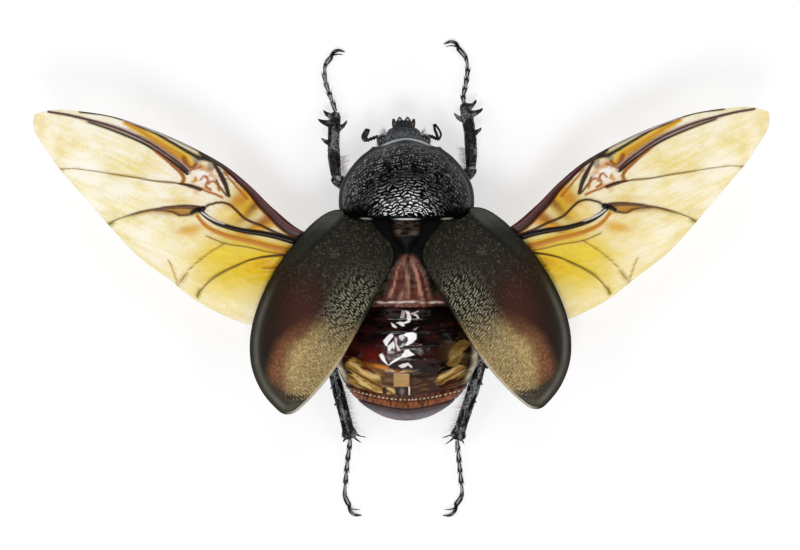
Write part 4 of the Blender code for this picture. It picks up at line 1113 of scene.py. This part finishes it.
CELL_END = ((45.2, -23), (43.1, -21.4), (41.5, -20), (40.2, -18.8), (39.8, -17.9), (40.1, -17.1))
STRIPE = ((50.2, -27.9), (48.4, -27), (46.3, -25.7), (44.7, -24.7), (43, -23.6), (40.9, -22.3),
          (39.8, -21.6), (39.2, -20.6))
STRIPE_HOOK = ((39.8, -21.6), (39.2, -20.3), (38.7, -19.9), (38, -20.1), (37.6, -20.5))
MEDIA_LINE = ((61.8, -19.6), (59.9, -19.7), (56, -19.3), (52.8, -18.8), (49.6, -18.3), (45.3, -17.6),
              (40.9, -17.1), (38.7, -16.7), (36.6, -16))
MEDIA_BLOT = ((40.6, -17.0), (39.8, -16.9), (38.2, -16.5), (36.8, -16))
CUBITUS_TIP = ((53.5, -9.7), (51.8, -10.6), (49.6, -11.4), (47.5, -12), (45.3, -12.4), (43.1, -12.7),
               (41, -12.9), (38.8, -12.9), (37.1, -12.7))
CUBITUS_LOW = ((45.3, -12.3), (43.1, -12.2), (41.6, -11.9), (40.5, -11.4), (38.7, -11.6), (37.3, -12.3))
JUNCTION = ((38.4, -11.9), (37.3, -12.4), (36.4, -12.6))
LOOP = ((36.4, -12.6), (35.7, -13.1), (34.9, -13.4), (33.1, -13.7), (31.7, -13.3), (30.4, -12.2),
        (28.9, -10.8), (25.9, -9.5), (23.1, -8.2), (19.5, -7.1), (10.2, -5.4))
CUBITUS_BASE = ((37, -12.3), (35.7, -11.1), (34.1, -10.1), (32.2, -9.4), (29.5, -8.7), (26.8, -8.3),
                (24, -7.8), (19.1, -6.5), (10.2, -4.9))
BORDER = ((37.5, -11.3), (35.9, -9.5), (33.2, -8.1), (30.4, -7.3), (27.7, -6.7), (24, -5.7),
          (20.9, -5.1), (10.3, -3.6))
BARS = (((34.3, -20.4), (33.7, -19.5), (33, -18.2), (32.3, -16.7), (31.8, -14.9)),
        ((34, -17.7), (33.4, -16.5), (32.8, -15.7), (32.2, -14.9)))
INNER = ((33.5, -20), (31.4, -18.1), (29.3, -16.5), (27.7, -14.9), (25.8, -12.8), (23.4, -10.8),
         (21.2, -9.1), (18.9, -7.5), (10.1, -6.0))
ANAL_LINE = ((37.6, 3.2), (37, 2.2), (35.4, 0.4), (33.5, -0.9), (30.7, -2.3), (28, -3.4), (25.2, -4),
             (21.3, -4.3), (10.4, -3.0))
ANAL_FORE = ((40.8, 0.7), (38.9, -1.7), (37, -3.4), (35, -4.9), (32.3, -6.5))
FOLD = ((35.9, -7.7), (32.3, -6.3), (28.4, -5.7), (24.5, -4.8), (21.3, -4.4))
FAINT = (((42.6, -3.4), (41.8, -1.4), (41, 1.2)), ((25.8, -1.9), (24.5, -1.9), (22.7, -2.2)))
SCRIBBLES = (((38.7, -19.4), (37.6, -19.8), (36.7, -20.1)),
             ((36.9, -17.7), (36, -18.4), (35.5, -17.7), (35.9, -16.6), (35, -15.9)),
             ((36.4, -16), (35.3, -15.5), (34.3, -15.2), (33, -14.6)),
             ((35.5, -17), (34.6, -17.5), (33.9, -17), (33.5, -15.9)),
             ((32.6, -19.1), (31.6, -17.9), (30.5, -16.6), (29.3, -15.2), (28.5, -14.3)))

LACING = ((50.6, -28.3), (47.3, -27.3), (43, -25.5), (39.8, -24.1), (37.2, -22.7))
# A painted white highlight along the thick vein near the wing's root
SHEEN = ((36.6, -11.9), (35.5, -11.1), (34.0, -10.35), (32.6, -9.85))

# Each stroke of the wing's paint in order: its line, its half width at even steps along it, its colour,
# how much of it covers what lies under it, and how high it stands
STROKES = (
    (STRIPE, (0.45, 0.95, 1.2), "efc864", 0.75, 0.0),
    (STRIPE, (0.16, 0.36, 0.6), "c8841c", 0.75, 0.0),
    (STRIPE_HOOK, (0.35, 0.25), "8c4618", 0.85, 0.15),
    (RADIUS_FORE, (0.2, 0.3, 0.5, 0.62), "b8a5a4", 0.85, 0.1),
    (COSTA[:11], (0.12, 0.22, 0.42, 0.55, 0.5, 0.6, 0.7), "2a0d0c", 0.97, 0.45),
    (SUBCOSTA, (0.1, 0.2, 0.3), "150807", 0.97, 0.35),
    (LACING, (0.06, 0.14, 0.14, 0.05), "c8bcb8", 0.9, 0.0),
    (RADIUS_FORE, (0.11, 0.13, 0.15, 0.17), "4a2a24", 0.92, 0.3),
    (RADIUS_REAR, (0.1, 0.16, 0.22), "190a08", 0.97, 0.35),
    (CELL_END, (0.12, 0.2, 0.3), "a8581a", 0.9, 0.2),
    (MEDIA_LINE, (0.08, 0.09, 0.14), "74480e", 0.85, 0.12),
    (MEDIA_BLOT, (0.1, 0.28, 0.25), "3a0f0c", 0.95, 0.25),
    (CUBITUS_TIP, (0.1, 0.18, 0.4), "5a2c0c", 0.95, 0.25),
    (CUBITUS_LOW, (0.11, 0.26), "5c300f", 0.92, 0.2),
    (BORDER, (0.3, 0.7, 0.95), "e0a436", 0.7, 0.0),
    (BORDER, (0.2, 0.4, 0.6), "b4660e", 0.75, 0.1),
    (COSTA[9:], (0.4, 1.45, 1.55, 1.35), "8c4c10", 0.75, 0.1),
    (COSTA[9:], (0.5, 1.2, 1.35, 1.2), "34110c", 0.97, 0.4),
    (COSTA[9:], (0.08, 0.16, 0.12), "7c565c", 0.8, 0.0),
    (LOOP, (0.16, 0.18, 0.2, 0.12), "431808", 0.97, 0.3),
    (CUBITUS_BASE, (0.32, 0.42, 0.55, 0.5), "1a0607", 1.0, 0.5),
    (JUNCTION, (0.3, 0.45), "0a0404", 1.0, 0.4),
    (BARS[0], (0.24, 0.4, 0.28), "2c0b0c", 0.97, 0.3),
    (BARS[1], (0.1, 0.14), "5a3a30", 0.85, 0.25),
    (ANAL_FORE, (0.07, 0.09), "84520c", 0.9, 0.1),
    (ANAL_LINE, (0.1, 0.14, 0.2, 0.3), "4a1c08", 0.97, 0.25),
    (FOLD, (0.1, 0.14), "84500f", 0.75, 0.1),
    (FAINT[0], (0.08, 0.1), "a8842c", 0.7, 0.08),
    (FAINT[1], (0.1, 0.14), "a05010", 0.8, 0.08),
    # a painted white highlight along the thick base vein
    (SHEEN, (0.08, 0.12, 0.06), "f4ece8", 0.9, 0.0),
) + tuple((line, (0.12, 0.18), "b05c18", 0.85, 0.12) for line in SCRIBBLES)


def wing_height(x, y):
    """The hind wing's height: its front edge and its tip stand higher than its root."""
    return WING_HEIGHT - 0.12 * (y + 8) + 0.04 * np.maximum(0, x - 18)


def wing_columns():
    """The hind wing in columns from root to margin, closer together where its veins draw together."""
    rails = [smooth_path(vein, WING_ROWS) for vein in RAILS]
    margin = smooth_path(MARGIN, MARGIN_STEPS)
    ends = [int(np.argmin(np.linalg.norm(margin - rail[-1], axis=1))) for rail in rails]
    ends[0], ends[-1] = 0, MARGIN_STEPS
    share = np.linspace(0, 1, WING_ROWS + 1)[:, None]
    columns = [rails[0]]
    for i, steps in enumerate(PANEL_STEPS):
        near, far = rails[i], rails[i + 1]
        for k in range(1, steps + 1):
            place = k / steps
            column = near + (far - near) * place
            where = ends[i] + (ends[i + 1] - ends[i]) * place
            target = [np.interp(where, np.arange(len(margin)), margin[:, axis]) for axis in range(2)]
            columns.append(column + share ** 4 * (np.array(target) - column[-1]))
    return np.array(columns)


def slab(upper, lower, coarse):
    """A closed thin body between a fine grid on top and the coarser one below it."""
    columns, rows = upper.shape[:2]
    number = np.arange(columns * rows).reshape(columns, rows)
    below = number.size + np.arange(lower.shape[0] * lower.shape[1]).reshape(lower.shape[:2])

    def quads(grid):
        return np.stack([grid[:-1, :-1], grid[1:, :-1], grid[1:, 1:], grid[:-1, 1:]], -1).reshape(-1, 4)

    def border(grid):
        return np.concatenate([grid[:, 0], grid[-1, 1:], grid[-2::-1, -1], grid[0, -2:0:-1]])

    faces = quads(number).tolist() + quads(below)[:, ::-1].tolist()
    fine, rough = border(number), border(below)
    for j in range(len(rough)):
        near, far = int(rough[j]), int(rough[(j + 1) % len(rough)])
        for k in range(coarse):
            a, b = int(fine[(j * coarse + k) % len(fine)]), int(fine[(j * coarse + k + 1) % len(fine)])
            faces.append([b, a, near])
        faces.append([int(fine[((j + 1) * coarse) % len(fine)]), near, far])
    return np.vstack([upper.reshape(-1, 3), lower.reshape(-1, 3)]), faces


def wing_veil(flat):
    """Long low creases in the membrane, 1 on a crease and 0 in between."""
    return ridges(flat + 1.5 * fractal(flat, 4.0, 103)[:, None], (3.4, 1.2), 104)


def cell_paint(x, y, gold):
    """The colours of the membrane between the veins: pale cells, a golden root and a brown fold."""
    flat = np.column_stack([x, y])
    cloud = fractal(flat, 4.0, 101)
    fibre = fractal(flat, (2.4, 0.8), 102)
    streaky = fractal(np.column_stack([0.91 * x - 0.41 * y, 0.41 * x + 0.91 * y]), (5.0, 0.4), 110)
    yellow = spot(x, y, (24.5, -2.6), (7.5, 2.6), 8) + spot(x, y, (16.0, -1.0), (7, 5))
    blotch = spot(x, y, (37.0, -18.2), (2.6, 2.4)) * soft(fractal(flat, (1.3, 0.9), 108), 0.52, 0.64)
    ash = spot(x, y, (35.0, -20.2), (0.8, 1.1)) + spot(x, y, (37.4, -21.2), (1.6, 0.5), 25)
    creases = ridges(flat + 2.5 * fractal(flat, 2.0, 106)[:, None], (2.2, 1.1), 107) ** 8
    return layered(rgb("fffdf6"), (
        (soft(cloud, 0.3, 0.75) * 0.35, "fbf2c4"),
        (soft(streaky, 0.45, 0.75) * (0.1 + 0.4 * cloud), "f4e4a0"),
        (soft(x, 60, 66) * soft(cloud, 0.3, 0.6) * 0.7, "f0e09a"),
        ((gold + 0.14 * soft(x, 57, 66)) * (0.5 + cloud), "f6dc70"),
        (spot(x, y, (29.0, -1.8), (10.0, 6.5), 8) * (0.6 + 0.4 * cloud), "f6e27c"),
        (spot(x, y, (33.4, -4.6), (4.4, 1.8), 14) * 0.8, "f6dc5c"),
        (yellow * (0.7 + 0.8 * fibre), "ecc41c"),
        (soft(yellow * fibre, 0.35, 0.7) * 0.7, "d8a008"),
        (spot(x, y, (28.6, -13.2), (4.2, 1.9), 42) * 1.3, "e8c050"),
        (spot(x, y, (29.4, -14.4), (3.0, 1.2), 42) * (0.8 + 0.6 * fibre), "c8860e"),
        (spot(x, y, (25.0, -10.6), (5.0, 0.9), 34) * (0.8 + 0.5 * fibre), "a8640c"),
        (spot(x, y, (27.0, -8.9), (3.6, 0.4), 14) * 1.1, "e0a43c"),
        (spot(x, y, (32.4, -11.6), (2.6, 0.9), 22) * 1.1, "fdf0c8"),
        (spot(x, y, (26.9, -13.4), (3.8, 0.75), 46) * (0.6 + 0.6 * fibre), "7a3c10"),
        (spot(x, y, (36.2, -18.4), (2.4, 2.0)) * 1.4, "fffdfb"),
        (blotch, "d69a50"),
        (spot(x, y, (38.8, -8.8), (2.2, 0.8), 12) * 0.7, "e8b048"),
        (spot(x, y, (40.9, -12.1), (3.6, 0.55), 2) * 0.8, "b8741c"),
        (spot(x, y, (41.0, -14.0), (3.5, 0.5)) * 0.3, "ecc050"),
        (soft(ash, 0.3, 0.8) * (0.4 + 0.6 * fibre), "b4aaa8"),
        (wing_veil(flat) ** 4 * 0.1, "ecd488"),
        (creases * soft(cloud, 0.4, 0.6) * 0.14, "d0ac60"),
    ))


def wing_paint(x, y, gold):
    """The wing's colours with every vein laid over them, how much a vein covers, and the height."""
    flat = np.column_stack([x, y])
    tint = cell_paint(x, y, gold)
    height = 0.12 * wing_veil(flat) + 0.35 * fractal(flat, (7.0, 4.0), 105)
    solid = np.zeros(len(x))
    for line, widths, code, share, lift in STROKES:
        path = smooth_path(line, 8 * len(line))
        low, high = path.min(axis=0) - 1.5, path.max(axis=0) + 1.5
        near = np.flatnonzero((x > low[0]) & (x < high[0]) & (y > low[1]) & (y < high[1]))
        apart, way = along_line(x[near], y[near], path)
        half = np.interp(way, np.linspace(0, 1, len(widths)), widths)
        cover = soft(apart, half + 0.12, half - 0.06) * share
        tint[near] = painted(tint[near], cover, code)
        solid[near] = np.maximum(solid[near], cover)
        crest = np.sqrt(np.clip(1 - (apart / (half + 0.12)) ** 2, 0, 1))
        height[near] = np.maximum(height[near], 0.25 + lift * crest * soft(cover, 0, 0.4))
    return tint, solid, height


def build_wing(label, finish):
    """One hind wing: a thin veined membrane, clear where it is pale."""
    columns = wing_columns()
    x, y = columns[..., 0].ravel(), columns[..., 1].ravel()
    tint, solid, height = wing_paint(x, y, WING_GOLD[label])
    cover = np.clip(np.maximum(1.02 - tint.min(axis=1), solid), 0.18, 1)
    through = np.clip((tint - (1 - cover)[:, None]) / cover[:, None], 0.004, 1)
    placed = columns * (WING_REACH[label], 1) + (0, WING_SHIFT[label])
    z = wing_height(placed[..., 0], placed[..., 1])
    taper = soft(np.linspace(0, 1, columns.shape[1]), 1.0, 0.97)[None, :]
    upper = np.dstack([placed, z + MEMBRANE / 2 + height.reshape(z.shape) * (0.2 + 0.8 * taper) - 0.3])
    lower = np.dstack([placed, z - MEMBRANE / 2 - 0.35])[::COARSE, ::COARSE]
    points, faces = slab(upper, lower, COARSE)
    keep = np.arange(z.size).reshape(z.shape)[::COARSE, ::COARSE].ravel()
    piece("wing_" + label, (sided(points, SIDES[label]), faces), finish, "wing_membrane",
          ("hindwing_" + label,), None, tint=np.vstack([through, through[keep]]),
          cover=np.concatenate([cover, cover[keep]]))


# Legs

HIPS = {"fore": (4.8, -14.4, 4.4), "mid": (5.4, -3.6, 4.0), "hind": (4.6, 3.4, 4.0)}
KNEES = {"fore_left": (12.5, -17.8, 6.0), "fore_right": (11.6, -19.4, 6.0),
         "mid": (14.8, 1.2, 6.2), "hind_left": (13.5, 15.7, 5.8), "hind_right": (13.9, 14.4, 5.8)}
ANKLES = {"fore_left": (12.8, -30.2, 2.2), "fore_right": (10.5, -31.8, 2.2),
          "mid": (19.4, 9.2, 2.1), "hind_left": (10.2, 28.9, 1.9), "hind_right": (9.2, 29.1, 1.9)}
# The ends of a foot's joints, the last of them its claws' root
TOES = {"fore_left": ((13.4, -32.1), (14.1, -33.9), (14.7, -35.6), (15.0, -37.4), (14.7, -39.1),
                      (13.6, -40.6)),
        "fore_right": ((10.3, -33.3), (10.7, -34.8), (11.0, -36.5), (11.2, -38.2), (10.8, -40.4),
                       (9.3, -42.2)),
        "mid": ((19.8, 11.0), (20.3, 12.6), (20.8, 14.1), (21.1, 15.6), (21.2, 17.2), (20.9, 18.6)),
        "hind_left": ((10.4, 30.8), (10.7, 32.9), (10.9, 35.0), (11.1, 37.1), (11.2, 39.6), (10.3, 41.5)),
        "hind_right": ((9.4, 31.2), (9.6, 33.2), (9.8, 35.2), (10.0, 37.2), (10.1, 39.5), (8.9, 41.4))}
# Two places on the bend of a foot's outer claw, and its tip
CLAWS = {"fore_left": ((13.2, -41.4), (12.35, -41.7), (11.2, -41.4)),
         "fore_right": ((9.0, -43.0), (8.1, -43.3), (6.8, -42.8)),
         "mid": ((20.5, 19.5), (19.8, 19.8), (18.8, 19.5)),
         "hind_left": ((10.1, 42.5), (9.4, 43.0), (8.1, 43.1)),
         "hind_right": ((8.7, 42.5), (7.9, 43.1), (6.6, 43.1))}
# How far a shin bows out midway, half a thigh's greatest width, and half a shin's by share of its length
BOW = {"fore": 0.55, "mid": 0.3, "hind": 0.0}
THIGH_WIDTH = {"fore": 1.25, "mid": 1.6, "hind": 1.6}
SHIN_WIDTH = {"fore": ((0, 0.8), (0.15, 1.0), (0.35, 1.1), (0.6, 1.05), (0.85, 1.1), (1, 0.7)),
              "mid": ((0, 0.7), (0.3, 0.85), (0.7, 1.0), (0.93, 1.15), (1, 0.95)),
              "hind": ((0, 0.75), (0.12, 0.92), (0.35, 1.1), (0.6, 1.04), (0.85, 1.05), (0.95, 1.3),
                       (1, 1.05))}
# What each part of a leg replaces, and the seed of its grain
LEG_PARTS = {"thigh": ("femur", 111), "shin": ("tibia", 121), "foot": ("tarsus", 131)}
# Each spine: the shin's share at its root and at its tip, how far out its tip stands, and its thickness
SPINES = {"fore": ((0.56, 0.63, 2.75, 1.0), (0.85, 0.915, 3.3, 1.15), (0.95, 1.05, 2.3, 0.95),
                   (0.78, 0.89, -1.95, 0.8)),
          "mid": ((0.32, 0.38, 1.3, 0.5), (0.54, 0.6, 1.3, 0.5), (0.95, 1.02, 1.4, 0.5),
                  (0.96, 1.06, -2.2, 0.36), (0.97, 1.08, -1.5, 0.32)),
          "hind": ((0.22, 0.3, 1.4, 0.6), (0.44, 0.53, 1.4, 0.6), (0.92, 1.03, 1.5, 0.55),
                   (0.92, 1.045, -2.75, 0.34), (0.95, 1.1, -1.7, 0.34))}
FOOT_DROP = (1.6, 1.25, 1.0, 0.8, 0.52, 0.42)   # the height of a foot's axis at the end of each joint


def of_leg(table, pair, label):
    """A leg's own entry, or the one that its pair shares."""
    return np.array(table.get(f"{pair}_{label}", table.get(pair)))


def shin_frame(pair, label):
    """A shin's root, its length, and its directions along and out, all on the beetle's left."""
    knee = of_leg(KNEES, pair, label)
    along = of_leg(ANKLES, pair, label) - knee
    length = np.linalg.norm(along)
    along /= length
    out = np.cross(along, (0, 0, 1))
    out /= np.linalg.norm(out)
    return knee, length, along, out if out[0] > 0 else -out


def leg_skin(part, pair, label, mesh, finish, knob=None, highlight_streak=None):
    """A leg's part with long ridges and a net of painted glints, redder with painted gleams near a knob, and
    a painted highlight streak if given.
    """
    points = mesh[0]
    node, seed = LEG_PARTS[part]
    wall = 1 - soft(net(points, 0.5, seed), 0.05, 0.35)
    long = ridges(points, (0.45, 2.2, 0.5), seed + 1)
    relief = 0.07 * wall + 0.09 * long - 0.09
    # painted glints on the walls of the net
    glint = wall * soft(noise(points, (0.7, 1.1, 0.7), seed + 2), 0.45, 0.75)
    tint = painted(rgb("060607"), glint * 0.5, "a8acb0")
    dull = 0.08 * (1 - long)
    if highlight_streak is not None:
        relief = relief * 0.4
        # the painted highlight streak
        tint = painted(tint, highlight_streak, "b4b8bc")
    if knob is not None:
        near = bell(np.linalg.norm(points - knob, axis=1), 0, 1.1)
        # painted glossy gleams round the knob
        gleam = near * soft(noise(points, 0.5, seed + 3), 0.62, 0.74)
        tint = layered(tint, ((near * 0.6, "240c0a"), (gleam, "d4d0cc")))
        relief = relief * (1 - near)
        dull = dull - 0.1 * near
    piece(f"{part}_{pair}_{label}", mesh, finish, "leg_chitin", (f"{pair}leg_{label}_{node}",), relief,
          tint=tint, dull=dull)


def build_thigh(pair, label, finish):
    """A hip that lies against the belly, and the thigh that grows from it out to the knee."""
    side = SIDES[label]
    hip = np.array(HIPS[pair])
    knee = of_leg(KNEES, pair, label)
    inner = hip - (3.2, 0.2, 0.5)
    share = np.array([0.12, 0.32, 0.52, 0.72, 0.9, 1.04, 1.13])
    thigh = hip + np.outer(share, knee - hip)
    path = sided(np.vstack([inner, (inner + hip) / 2, hip, thigh]), side)
    swell = np.array([0.55, 0.9, 0.7, 0.7, 0.92, 1.0, 1.0, 0.94, 0.76, 0.4])
    stops = np.column_stack([path, THIGH_WIDTH[pair] * swell])
    leg_skin("thigh", pair, label, limb(stops, 110, sides=48, flat=0.75), finish, knob=sided(knee, side))


def build_shin(pair, label, finish):
    """A shin with its digging teeth and, at its end, its spurs."""
    side = SIDES[label]
    knee, length, along, out = shin_frame(pair, label)
    share = np.linspace(0.02, 1.0, 110)
    path = knee + np.outer(share * length, along)
    path += np.outer(BOW[pair] * 4 * share * (1 - share), out)
    width = eased(share, SHIN_WIDTH[pair])
    width *= 1 + 0.10 * bell(share, 0.95, 0.03)
    parts = [tube(sided(path, side), width, width * 0.62 + 0.1, sides=48)]
    for root, tip, sideways, thick in SPINES[pair]:
        start = knee + along * length * root + out * np.sign(sideways) * 0.2
        end = knee + along * length * tip + out * sideways
        end[2] = max(end[2], start[2] - 0.9)
        hook = (-0.35 if pair == "fore" else -0.1) * np.sign(sideways) * side
        parts.append(spike(sided(start, side), sided(end, side), thick, hook))
    leg_skin("shin", pair, label, joined(parts), finish, knob=sided(knee, side))


def foot_joint(start, end, first):
    """One of a foot's first four joints, flared toward its end, with a bristle spike on either side."""
    share = np.linspace(0.16 if first else -0.04, 1.0, 30)
    width = eased(share, ((-0.04, 0.22), (0.15, 0.30), (0.55, 0.40), (0.88, 0.5), (1, 0.34)))
    along = (end - start) / np.linalg.norm(end - start)
    across = np.cross(along, (0, 0, 1))
    spikes = []
    for way in (-1, 1):
        root = start + (end - start) * 0.9 + across * way * 0.3
        spikes.append((root, root + along * 0.6 + across * way * 0.28 + (0, 0, -0.1)))
    return start + np.outer(share, end - start), width, spikes


def build_foot(pair, label, finish):
    """A foot of five flared joints with bristle spikes, and two hooked claws."""
    side = SIDES[label]
    toes = of_leg(TOES, pair, label)
    route = np.vstack([of_leg(ANKLES, pair, label), np.column_stack([toes, FOOT_DROP])])
    parts = []
    for i in range(4):
        path, width, spikes = foot_joint(route[i], route[i + 1], i == 0)
        parts.append(tube(sided(path, side), width, width * 0.8, sides=26, floor=0.0))
        for root, tip in spikes:
            parts.append(spike(sided(root, side), sided(tip, side), thick=0.14, sides=8, steps=8))
    width = eased(np.linspace(0, 1, 30), ((0, 0.24), (0.25, 0.3), (0.75, 0.48), (0.95, 0.46), (1, 0.26)))
    last = sided(smooth_path(route[4:], 29), side)
    parts.append(tube(last, width, width * 0.8, sides=26, floor=0.0))
    root = toes[-1] + (toes[-2] - toes[-1]) * 0.25
    hook = smooth_path([root, *of_leg(CLAWS, pair, label)], 34)
    # The outer claw, and the small inner one just above it
    for lift, reach, stout in ((0.5, (1.0, 1.0), 1.0), (0.8, (0.92, 0.5), 0.42)):
        plan = root + (hook - root) * reach
        height = np.full((len(plan), 1), lift)
        share = np.linspace(0, 1, len(plan))
        girth = stout * eased(share, ((0, 0.36), (0.4, 0.34), (0.75, 0.24), (1, 0.06)))
        claw = sided(np.hstack([plan, height]), side)
        parts.append(tube(claw, girth, girth, sides=20, floor=0.02))
    points, faces = joined(parts)
    apart, way = along_line(points[:, 0], points[:, 1], sided(route[:, :2], side))
    step = way * 6 % 1
    # a painted highlight streak along the top of each joint
    highlight_streak = soft(apart, 0.17, 0.06) * soft(step, 0.08, 0.25) * soft(step, 0.86, 0.7) * 0.75
    highlight_streak *= (points[:, 2] > np.interp(way, np.linspace(0, 1, 7), route[:, 2])) * (way < 0.97)
    leg_skin("foot", pair, label, (points, faces), finish, highlight_streak=highlight_streak)


# Hair

TUFT_ON_MAP = 0.0015    # the reach of a tuft's place on the map


def strand(root, tip, thick, sag):
    """One bristle: a thin three-sided spine, bent down toward its tip."""
    share = np.linspace(0, 1, 5)[:, None]
    path = np.array(root) + share * (np.array(tip) - root) - share ** 2 * (0, 0, sag)
    width = thick * (1 - share[:, 0] * 0.85)
    return tube(path, width, width, sides=3)


def build_hair(name, tufts, finish, slot):
    """Tufts, each a root, a tip, a count of bristles, how far they fan out and how thick they are.

    Each tuft keeps one small place on the map, where its root stands.
    """
    chance = np.random.default_rng(7)
    meshes, places, shades = [], [], []
    for root, tip, count, fan, thick in tufts:
        root, tip = np.array(root, float), np.array(tip, float)
        length = np.linalg.norm(tip - root)
        centre = (0.5 + root[0] / 150, 0.5 + root[1] / 100)
        for _ in range(count):
            start = root + chance.normal(0, 0.16, 3)
            end = tip + chance.normal(0, fan * length, 3)
            end = start + (end - start) * chance.uniform(0.6, 1.1)
            points, faces = strand(start, end, thick, 0.08 * length)
            meshes.append((points, faces))
            shades.append(painted(rgb("8a5a58"), np.full(len(points), chance.uniform(0, 1)), "d8a8a8"))
            spread = (points[:, :2] - start[:2]) / max(length, 0.1) * TUFT_ON_MAP
            places.append(centre + np.clip(spread, -TUFT_ON_MAP, TUFT_ON_MAP))
    body = piece(name, joined(meshes), finish, slot, tint=np.vstack(shades))
    layer = body.data.uv_layers.new(name="OFBake")
    corner = np.empty(len(body.data.loops), dtype=np.int32)
    body.data.loops.foreach_get("vertex_index", corner)
    layer.data.foreach_set("uv", np.vstack(places)[corner].ravel())


def head_tufts():
    """Fans of bristles that stand out beside the eyes, under the feelers."""
    made = []
    for side in SIDES.values():
        for k in range(14):
            turn = math.radians(20 + 8 * k)
            root = (HEAD_LEAN + side * (3.2 + 0.1 * k), -26.2 + 0.22 * k, 6.4)
            reach = 1.7 - 0.05 * k
            tip = (root[0] + side * reach * math.sin(turn), root[1] - reach * math.cos(turn), 6.9)
            made.append((root, tip, 9, 0.16, 0.03))
    return made


def leg_tufts():
    """Short fringes inside the shins and round the knees of the fore legs."""
    made = []
    for pair, first, last in (("hind", 0.25, 0.95), ("fore", 0.0, 0.35), ("mid", 0.3, 0.9)):
        for label, side in SIDES.items():
            knee, length, along, out = shin_frame(pair, label)
            for share in np.linspace(first, last, 26):
                root = knee + along * length * share - out * 0.7
                tip = root - out * 1.5 + along * 0.7 - (0, 0, 0.3)
                made.append((sided(root, side), sided(tip, side), 5, 0.2, 0.022))
    return made


# Floor, light and camera

def floor_material():
    """A plain pale studio floor, lit a little from below like a light table, so shadows stay faint."""
    made, _, shader = new_material("floor")
    shader.inputs["Roughness"].default_value = 0.9
    shader.inputs["Specular IOR Level"].default_value = 0.0
    shader.inputs["Base Color"].default_value = (FLOOR_TONE, FLOOR_TONE, FLOOR_TONE, 1)
    shader.inputs["Emission Color"].default_value = (0.985, 0.985, 1.0, 1)
    shader.inputs["Emission Strength"].default_value = FLOOR_GLOW
    return made


# Each lamp: its bearing round the beetle from the tail and its height above the floor, in degrees, then
# its width in metres and its power
LAMPS = {"key": (4, 62, 0.24, 2.6), "front": (180, 48, 0.4, 1.0), "left": (98, 40, 0.42, 1.35),
         "right": (-98, 40, 0.42, 1.35), "rear_low": (0, 30, 0.5, 1.0)}
LAMP_REACH = 0.75       # how far each lamp stands from the beetle, in metres
FLOOR_HALF = 1.5        # half the floor's width, in metres


def build_studio():
    """A wide floor, a dim surround, and soft lamps on every side that leave the zenith dark."""
    corners = [(x * FLOOR_HALF, y * FLOOR_HALF, 0) for x, y in ((-1, -1), (1, -1), (1, 1), (-1, 1))]
    data = bpy.data.meshes.new("floor")
    data.from_pydata(corners, [], [(0, 1, 2, 3)])
    data.materials.append(floor_material())
    floor = bpy.data.objects.new("floor", data)
    bpy.context.scene.collection.objects.link(floor)

    world = bpy.data.worlds.new("surround")
    bpy.context.scene.world = world
    world.use_nodes = True
    world.node_tree.nodes["Background"].inputs["Color"].default_value = (0.92, 0.96, 1.0, 1)
    world.node_tree.nodes["Background"].inputs["Strength"].default_value = SURROUND

    for name, (bearing, height, size, power) in LAMPS.items():
        lamp = bpy.data.lights.new(name, "AREA")
        lamp.shape = "SQUARE"
        lamp.size = size
        lamp.energy = power
        stand = bpy.data.objects.new(name, lamp)
        bpy.context.scene.collection.objects.link(stand)
        turn, rise = math.radians(bearing), math.radians(height)
        stand.location = (LAMP_REACH * math.cos(rise) * math.sin(turn),
                          LAMP_REACH * math.cos(rise) * math.cos(turn), LAMP_REACH * math.sin(rise))
        stand.rotation_euler = (math.pi / 2 - rise, 0, math.pi - turn)


def build_camera():
    """Straight down from above, with the head at the top."""
    data = bpy.data.cameras.new("camera")
    data.lens = CAMERA_LENS
    data.sensor_width = CAMERA_SENSOR
    data.clip_start = 0.01
    camera = bpy.data.objects.new("camera", data)
    camera.location = CAMERA_AT
    camera.rotation_euler = (0, 0, math.pi)
    bpy.context.scene.collection.objects.link(camera)
    bpy.context.scene.camera = camera


# Each kind of skin: its roughness and how much that varies, its gloss, the size and the depth of its
# grain, and its clear coat
SKINS = {"wrinkled_chitin": (0.2, 0.06, 0.07, 0.12, 0.02), "satin_chitin": (0.3, 0.08, 0.14, 0.10, 0.03),
         "leg_chitin": (0.24, 0.08, 0.3, 0.14, 0.03), "velvet_case": (0.45, 0.1, 0.12, 0.11, 0.03),
         "wet_back": (0.16, 0.05, 0.16, 0.3, 0.02), "striped_thorax": (0.4, 0.1, 0.14, 0.16, 0.03),
         "jaw_chitin": (0.3, 0.1, 0.4, 0.15, 0.02), "eye_surface": (0.18, 0.05, 0.5, 0.08, 0.01, 0.5)}


def main():
    """Builds every piece, then the floor, the light and the camera."""
    skins = {name: chitin(name, *values) for name, values in SKINS.items()}
    wing = membrane("amber_membrane")
    hair = bristle("bristles")
    leg = skins["leg_chitin"]
    build_shield(skins["wrinkled_chitin"])
    build_head(skins["satin_chitin"])
    build_mouth(skins["jaw_chitin"])
    build_eyes(skins["eye_surface"])
    build_feelers(leg)
    build_scutellum(skins["wrinkled_chitin"])
    build_thorax(skins["striped_thorax"])
    build_abdomen(skins["wet_back"])
    build_pygidium(skins["wet_back"])
    for label in SIDES:
        build_case(label, skins["velvet_case"])
        build_wing(label, wing)
        for pair in HIPS:
            build_thigh(pair, label, leg)
            build_shin(pair, label, leg)
            build_foot(pair, label, leg)
    build_hair("coat_head", head_tufts(), hair, "head_chitin")
    build_hair("coat_legs", leg_tufts(), hair, "leg_chitin")
    build_studio()
    build_camera()
    bpy.context.scene.view_settings.view_transform = "Standard"


main()
